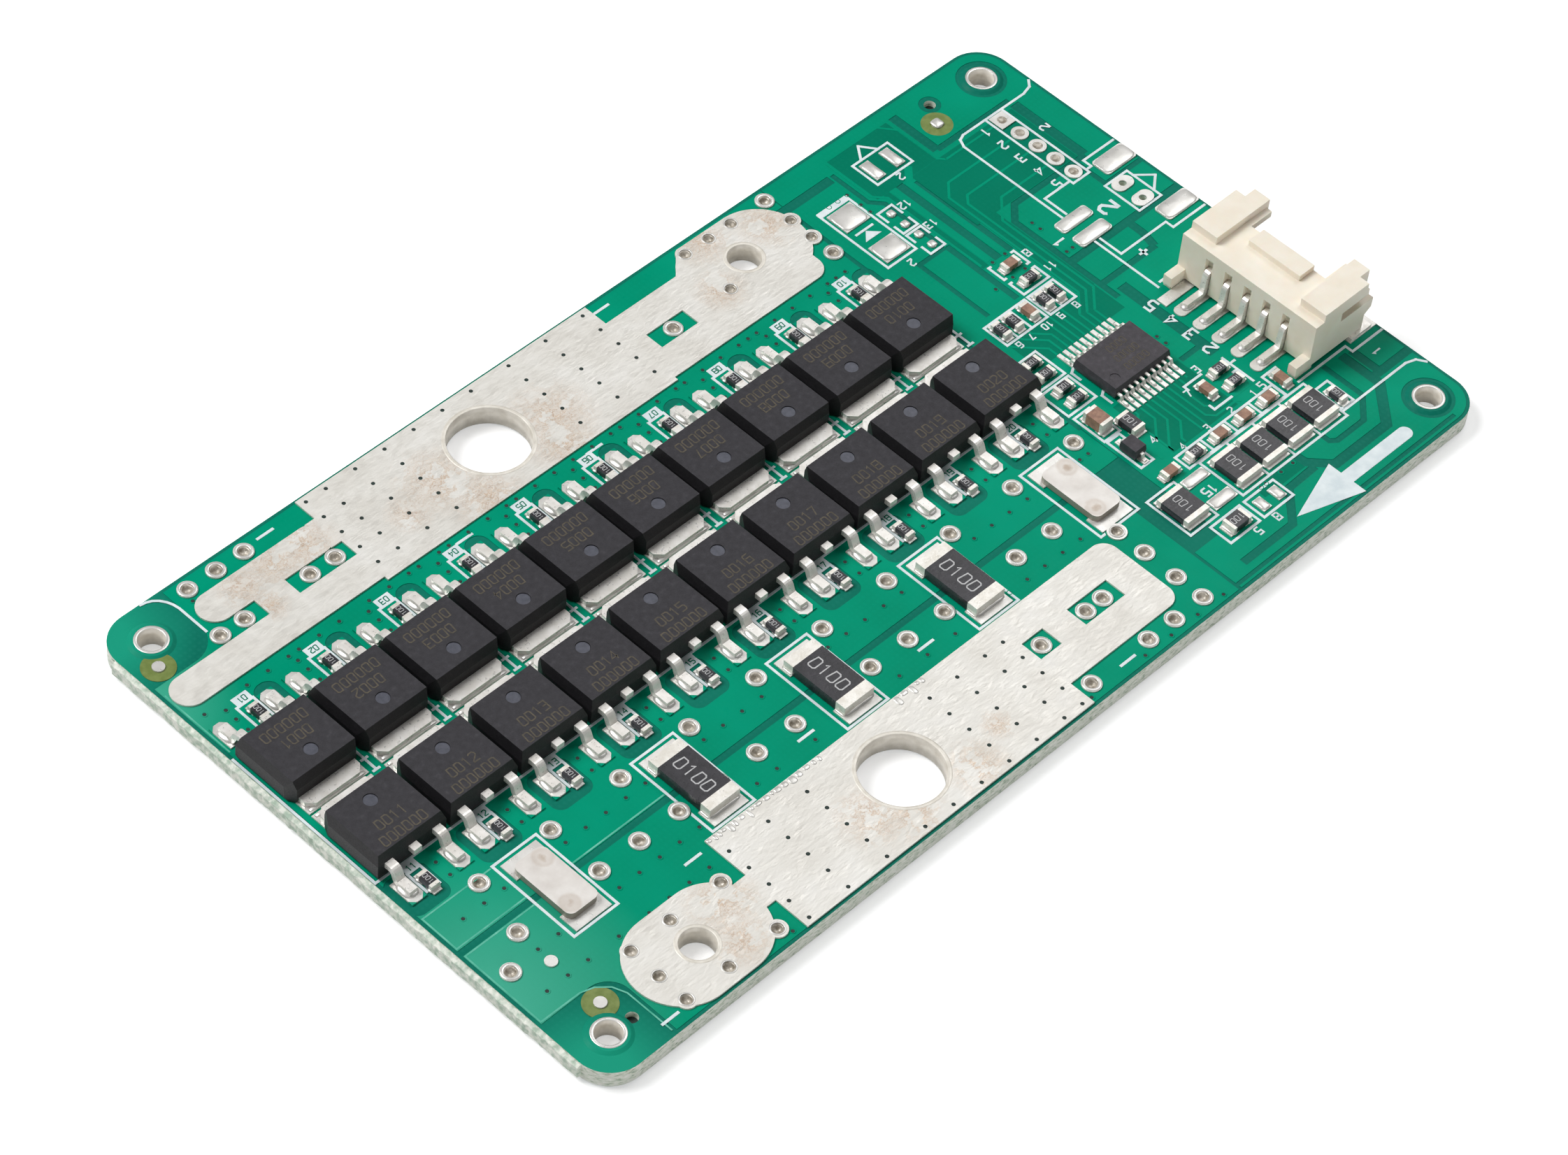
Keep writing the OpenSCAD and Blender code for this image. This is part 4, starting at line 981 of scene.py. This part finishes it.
# The first land of the empty header is square
for x0, y0, x1, y1 in (
    (-0.78, -0.78, 0.78, -0.39),
    (-0.78, 0.39, 0.78, 0.78),
    (-0.78, -0.39, -0.39, 0.39),
    (0.39, -0.39, 0.78, 0.39),
):
    x, y = HEADER
    rims.rect(x + x0, y + y0, x + x1, y + y1, PAD - 0.05, PAD + 0.006)
barrel.done("plated_barrels", plating.m)
rims.done("hole_rims", solder.m)
collar.done("mask_collars", board.m)

# ---------- mask over the corners of the transistors' pads ----------
cover = Build()
CUT, LAP = 0.42, 0.004
for t in transistors:
    for x in t.leads:
        for x0, y0, z0, x1, y1, z1 in lands:
            if not (x0 < x < x1 and y0 < t.tip < y1 and x1 - x0 < 2.6):
                continue
            end = y1 + LAP if t.first else y0 - LAP
            for side, inward in ((x0 - LAP, CUT), (x1 + LAP, -CUT)):
                corner = [(side, end), (side + inward, end), (side, end - CUT * t.s)]
                cover.prism(corner, MASK - 0.02, PAD + 0.006)
cover.done("pad_corner_mask", copper.m)
plugs.done("solder_plugs", old_solder.m)

# ---------- ripples where solder drew back from the long edge of the B- land ----------
crest = Build()
EDGE_Y = -16.68
x = -28.1
while x < -5.5:
    w = 0.3 + 0.5 * rng.random()
    y0 = EDGE_Y - 0.37 - 0.7 * rng.random() ** 2
    if abs(x - BIG_HOLE_X) > 3.6:
        crest.mound(x, y0, x + w, EDGE_Y, LAND - 0.01, 0.07, n=4, power=3)
    x += w + 0.03 + 0.2 * rng.random()
crest.done("land_ripples", solder.m)

# ---------- pads of the parts left out ----------
domes = Build()
covered = middles("chip_terminals") + middles("shunt_terminals")
covered += middles("controller_leads") + middles("diode_leads")
covered += middles("connector_pins") + middles("connector_tabs")
covered += middles("jumper_plates")
for x0, y0, z0, x1, y1, z1 in lands:
    w, h = x1 - x0, y1 - y0
    if any(x0 - 0.2 < x < x1 + 0.2 and y0 - 0.2 < y < y1 + 0.2 for x, y in covered):
        continue
    in_zone = x0 >= 22.5 and w <= 4
    holed = abs(w - RING) < 0.03 or abs(w - MOUNT_LAND) < 0.06
    of_header = 1.2 < w < 2.2 and 1.2 < h < 2.2 and x0 > 41
    if not in_zone or holed or of_header:
        continue
    domes.mound(x0 + 0.02, y0 + 0.02, x1 - 0.02, y1 - 0.02, PAD, 0.14, n=7, power=5)
domes.done("pad_domes", solder.m)

# ---------- copper seen through the mask, in a deeper green ----------
dim = Build()
for x0, y0, x1, y1 in DEEPER_GREEN:
    dim.rect(x0, y0, x1, y1, MASK - 0.004, MASK + 0.003)
dim.done("inner_copper", inner_green.m)

# Traces, then the fans of them from both rows of the controller's leads
trace = Build()
paths = list(TRACES)
FIRST_LEAD, LEAD_PITCH = 26.43, 0.65
for i, dx in enumerate((-2.1, -1.5, -1.2, -0.5, 0, 0, 0)):
    x = FIRST_LEAD + LEAD_PITCH * i
    path = [(x, -1.3), (x, 1.7 - abs(dx)), (x + dx, 1.7), (x + dx, 1.9)]
    paths.append((0.2, path))
for i, (drop, dx) in enumerate(
    ((9.8, -0.8), (11.0, -2.7), (11.7, -2.05), (12.5, -1.3), (14.2, 0), (14.2, 0))
):
    x = FIRST_LEAD + LEAD_PITCH * i
    path = [(x, -9.3), (x, -drop)]
    if dx:
        path += [(x + dx, dx - drop), (x + dx, min(dx - drop, -14.2))]
    paths.append((0.2, path))
for w, path in paths:
    trace.line(path, w, MASK - 0.002, MASK + 0.012)
trace.done("traces", copper.m)

ridge = Build()
for pts in RIDGES:
    # Pale thin mask with a painted highlight along each copper edge
    ridge.line(pts, 0.13, MASK - 0.002, MASK + 0.008)
ridge.done("mask_ridges", thin_mask_highlight.m)

# ---------- tented vias ----------
via = Build()
pit = Build()
places = [(x, y) for y, xs in VIAS for x in xs]
for i in range(FIRST_ROW):
    places += [(-45.2 + PITCH * i, y) for y in (15.4, 14.28, 12.98)]
    places += [(-43.46 + PITCH * i, y) for y in (-5.0, -6.5)]
for x, y in places:
    via.tube(x, y, 0.27, 0.15, MASK - 0.01, MASK + 0.035, n=14, lip=0.03)
    pit.disc(x, y, 0.155, MASK - 0.005, MASK + 0.008)
via.done("via_rims", copper.m)

# Open ones in the power lands, five rows 2 mm apart in each
places = []
for top, columns in (
    (26.45, (-27.47, -25.46, -22.47, -19.46, -6.47, -2.5, 1.52)),
    (-18.5, (-27.46, -23.46, -19.44, -6.48, -3.5, -0.48, 1.5)),
):
    places += [(x, top - 2 * k) for k in range(5) for x in columns]
for x in (-16.45, -13.46, -10.46):
    places += [(x, 26.45), (x + 1.02, -26.5)]
for x, y in places:
    pit.disc(x, y, 0.17, LAND - 0.01, LAND + 0.006)

# Dark discs inside the two plain holes: painted shadow in them
for x, y in ((RIGHT - 8.55, P_EDGE - 2.49), (LEFT + 5.33, B_EDGE + 3.15)):
    pit.disc(x, y, STITCH_HOLE, 0.9, 1.0, n=32)
pit.done("via_mouths", hole_dark.m)

# ---------- the end where the board was snapped from its panel ----------
snap = Build()
TORN_TO = 24.5
verts = []
y = -TORN_TO
while y < TORN_TO:
    out, low = 0.3 + 0.09 * rng.random(), 0.26 + 0.1 * rng.random()
    verts += [(LEFT + 0.05, y, 0.1), (LEFT - out, y, low)]
    verts += [(LEFT - out, y, BOARD - low), (LEFT + 0.05, y, BOARD - 0.1)]
    y += 0.22 + 0.3 * rng.random()
end = len(verts)
faces = []
for i in range(0, end - 4, 4):
    for q in range(4):
        a, b = i + q, i + (q + 1) % 4
        faces.append((a, b, b + 4, a + 4))
faces += [(3, 2, 1, 0), (end - 4, end - 3, end - 2, end - 1)]
snap.add(verts, faces)
snap.done("snapped_edge", torn.m)

# ---------- position marks ----------
olive = Build()
dot = Build()
for x, y in POSITION_MARKS:
    olive.disc(x, y, 1.35, MASK - 0.045, MASK + 0.004, n=48)
    dot.disc(x, y, 0.5, MASK, MASK + 0.03, n=30)
olive.done("position_windows", bare.m)
dot.done("position_dots", plating.m)

# ---------- plain numbers ----------
# Each digit is 1 wide and 1.6 high
STROKES = {
    "0": [[(0, 0.2), (0.2, 0), (0.8, 0), (1, 0.2), (1, 1.4), (0.8, 1.6), (0.2, 1.6)]],
    "1": [[(0.2, 1.3), (0.55, 1.6), (0.55, 0)]],
    "2": [
        [(0, 1.4), (0.2, 1.6), (0.8, 1.6), (1, 1.3), (1, 1), (0, 0.2), (0, 0), (1, 0)]
    ],
    "3": [[(0, 1.6), (1, 1.6), (1, 0), (0, 0)], [(0.25, 0.85), (1, 0.85)]],
    "4": [[(0.8, 0), (0.8, 1.6), (0, 0.5), (1.05, 0.5)]],
    "5": [
        [(1, 1.6), (0, 1.6), (0, 0.9), (0.8, 0.9)]
        + [(1, 0.7), (1, 0.2), (0.8, 0), (0, 0)]
    ],
    "6": [[(1, 1.6), (0.2, 1.6), (0, 1.4), (0, 0), (1, 0), (1, 0.9), (0, 0.9)]],
    "7": [[(0, 1.6), (1, 1.6), (0.4, 0)]],
    "8": [[(0, 0), (1, 0), (1, 1.6), (0, 1.6), (0, 0)], [(0, 0.85), (1, 0.85)]],
    "9": [[(0, 0), (1, 0), (1, 1.6), (0, 1.6), (0, 0.8), (1, 0.8)]],
    "+": [[(0, 0.8), (1.2, 0.8)], [(0.6, 0.2), (0.6, 1.4)]],
}
STROKES["0"][0].append(STROKES["0"][0][0])  # closed
DIGIT_STEP = 1.35


def number(build, text, x, y, high, angle, z, width):
    """Plain digits, middle at (x, y), high millimetres tall, turned by angle.

    The strokes are width times as wide as the digits are tall.
    """
    k = high / 1.6
    total = ((len(text) - 1) * DIGIT_STEP + 1) * k
    c, s = math.cos(math.radians(angle)), math.sin(math.radians(angle))
    for i, ch in enumerate(text):
        for stroke in STROKES[ch]:
            pts = []
            for px, py in stroke:
                u = (i * DIGIT_STEP + px) * k - total / 2
                v = (py - 0.8) * k
                pts.append((x + u * c - v * s, y + u * s + v * c))
            build.line(pts, width * high, z - 0.01, z + 0.012)


marks = Build()
for x0, y0, z0, x1, y1, z1 in parts_of("chip_resistors"):
    angle = 90 if y1 - y0 > x1 - x0 else 180
    long = max(y1 - y0, x1 - x0)
    number(marks, "100", (x0 + x1) / 2, (y0 + y1) / 2, long * 0.38, angle, z1, 0.13)
for x0, y0, z0, x1, y1, z1 in parts_of("balance_resistors"):
    number(marks, "100", (x0 + x1) / 2, (y0 + y1) / 2, 0.72, 90, z1, 0.1)
for x0, y0, z0, x1, y1, z1 in parts_of("shunt_bodies"):
    number(marks, "0100", (x0 + x1) / 2, (y0 + y1) / 2, 1.1, -90, z1, 0.1)
marks.done("resistor_numbers", chip_ink.m)

labels = Build()
for text, x, y, h, angle in NUMBERS:
    number(labels, text, x, y, h, angle, MASK + 0.012, 0.2)
labels.line(CORNER_LINE, 0.22, MASK - 0.01, MASK + 0.02)
labels.done("board_numbers", ink.m)

# On the transistors, with an ejector mark on each, and small ones by their gates
laser = Build()
dimple = Build()
gates = Build()
for t in transistors:
    angle = 180 if t.first else 0
    near = 0.15 if t.first else 0.75
    for text, dy in ((f"{t.number:04d}", near), ("000000", near + 1.35)):
        number(laser, text, t.x, t.y + t.s * dy, 0.85, angle, t.top, 0.13)
    dimple.disc(t.x, t.y - t.s * 1.35, 0.55, t.top - 0.09, t.top - 0.072, n=28)
    dy = 6.87 if t.first else 3.68
    place = (t.x + t.s * 0.72, t.y + t.s * dy)
    number(gates, f"{t.number:02d}", *place, 0.5, angle, MASK + 0.034, 0.16)
low, high = extent("controller_body")
x, y = (low.x + high.x) / 2 + 0.4, (low.y + high.y) / 2
for dy, text in ((1.1, "0000"), (0.0, "00000"), (-1.1, "00000")):
    number(laser, text, x, y + dy, 0.62, 0, high.z, 0.12)
laser.done("transistor_numbers", etched.m)
dimple.done("transistor_dimples", polished.m)
gates.done("gate_numbers", inner_green.m)
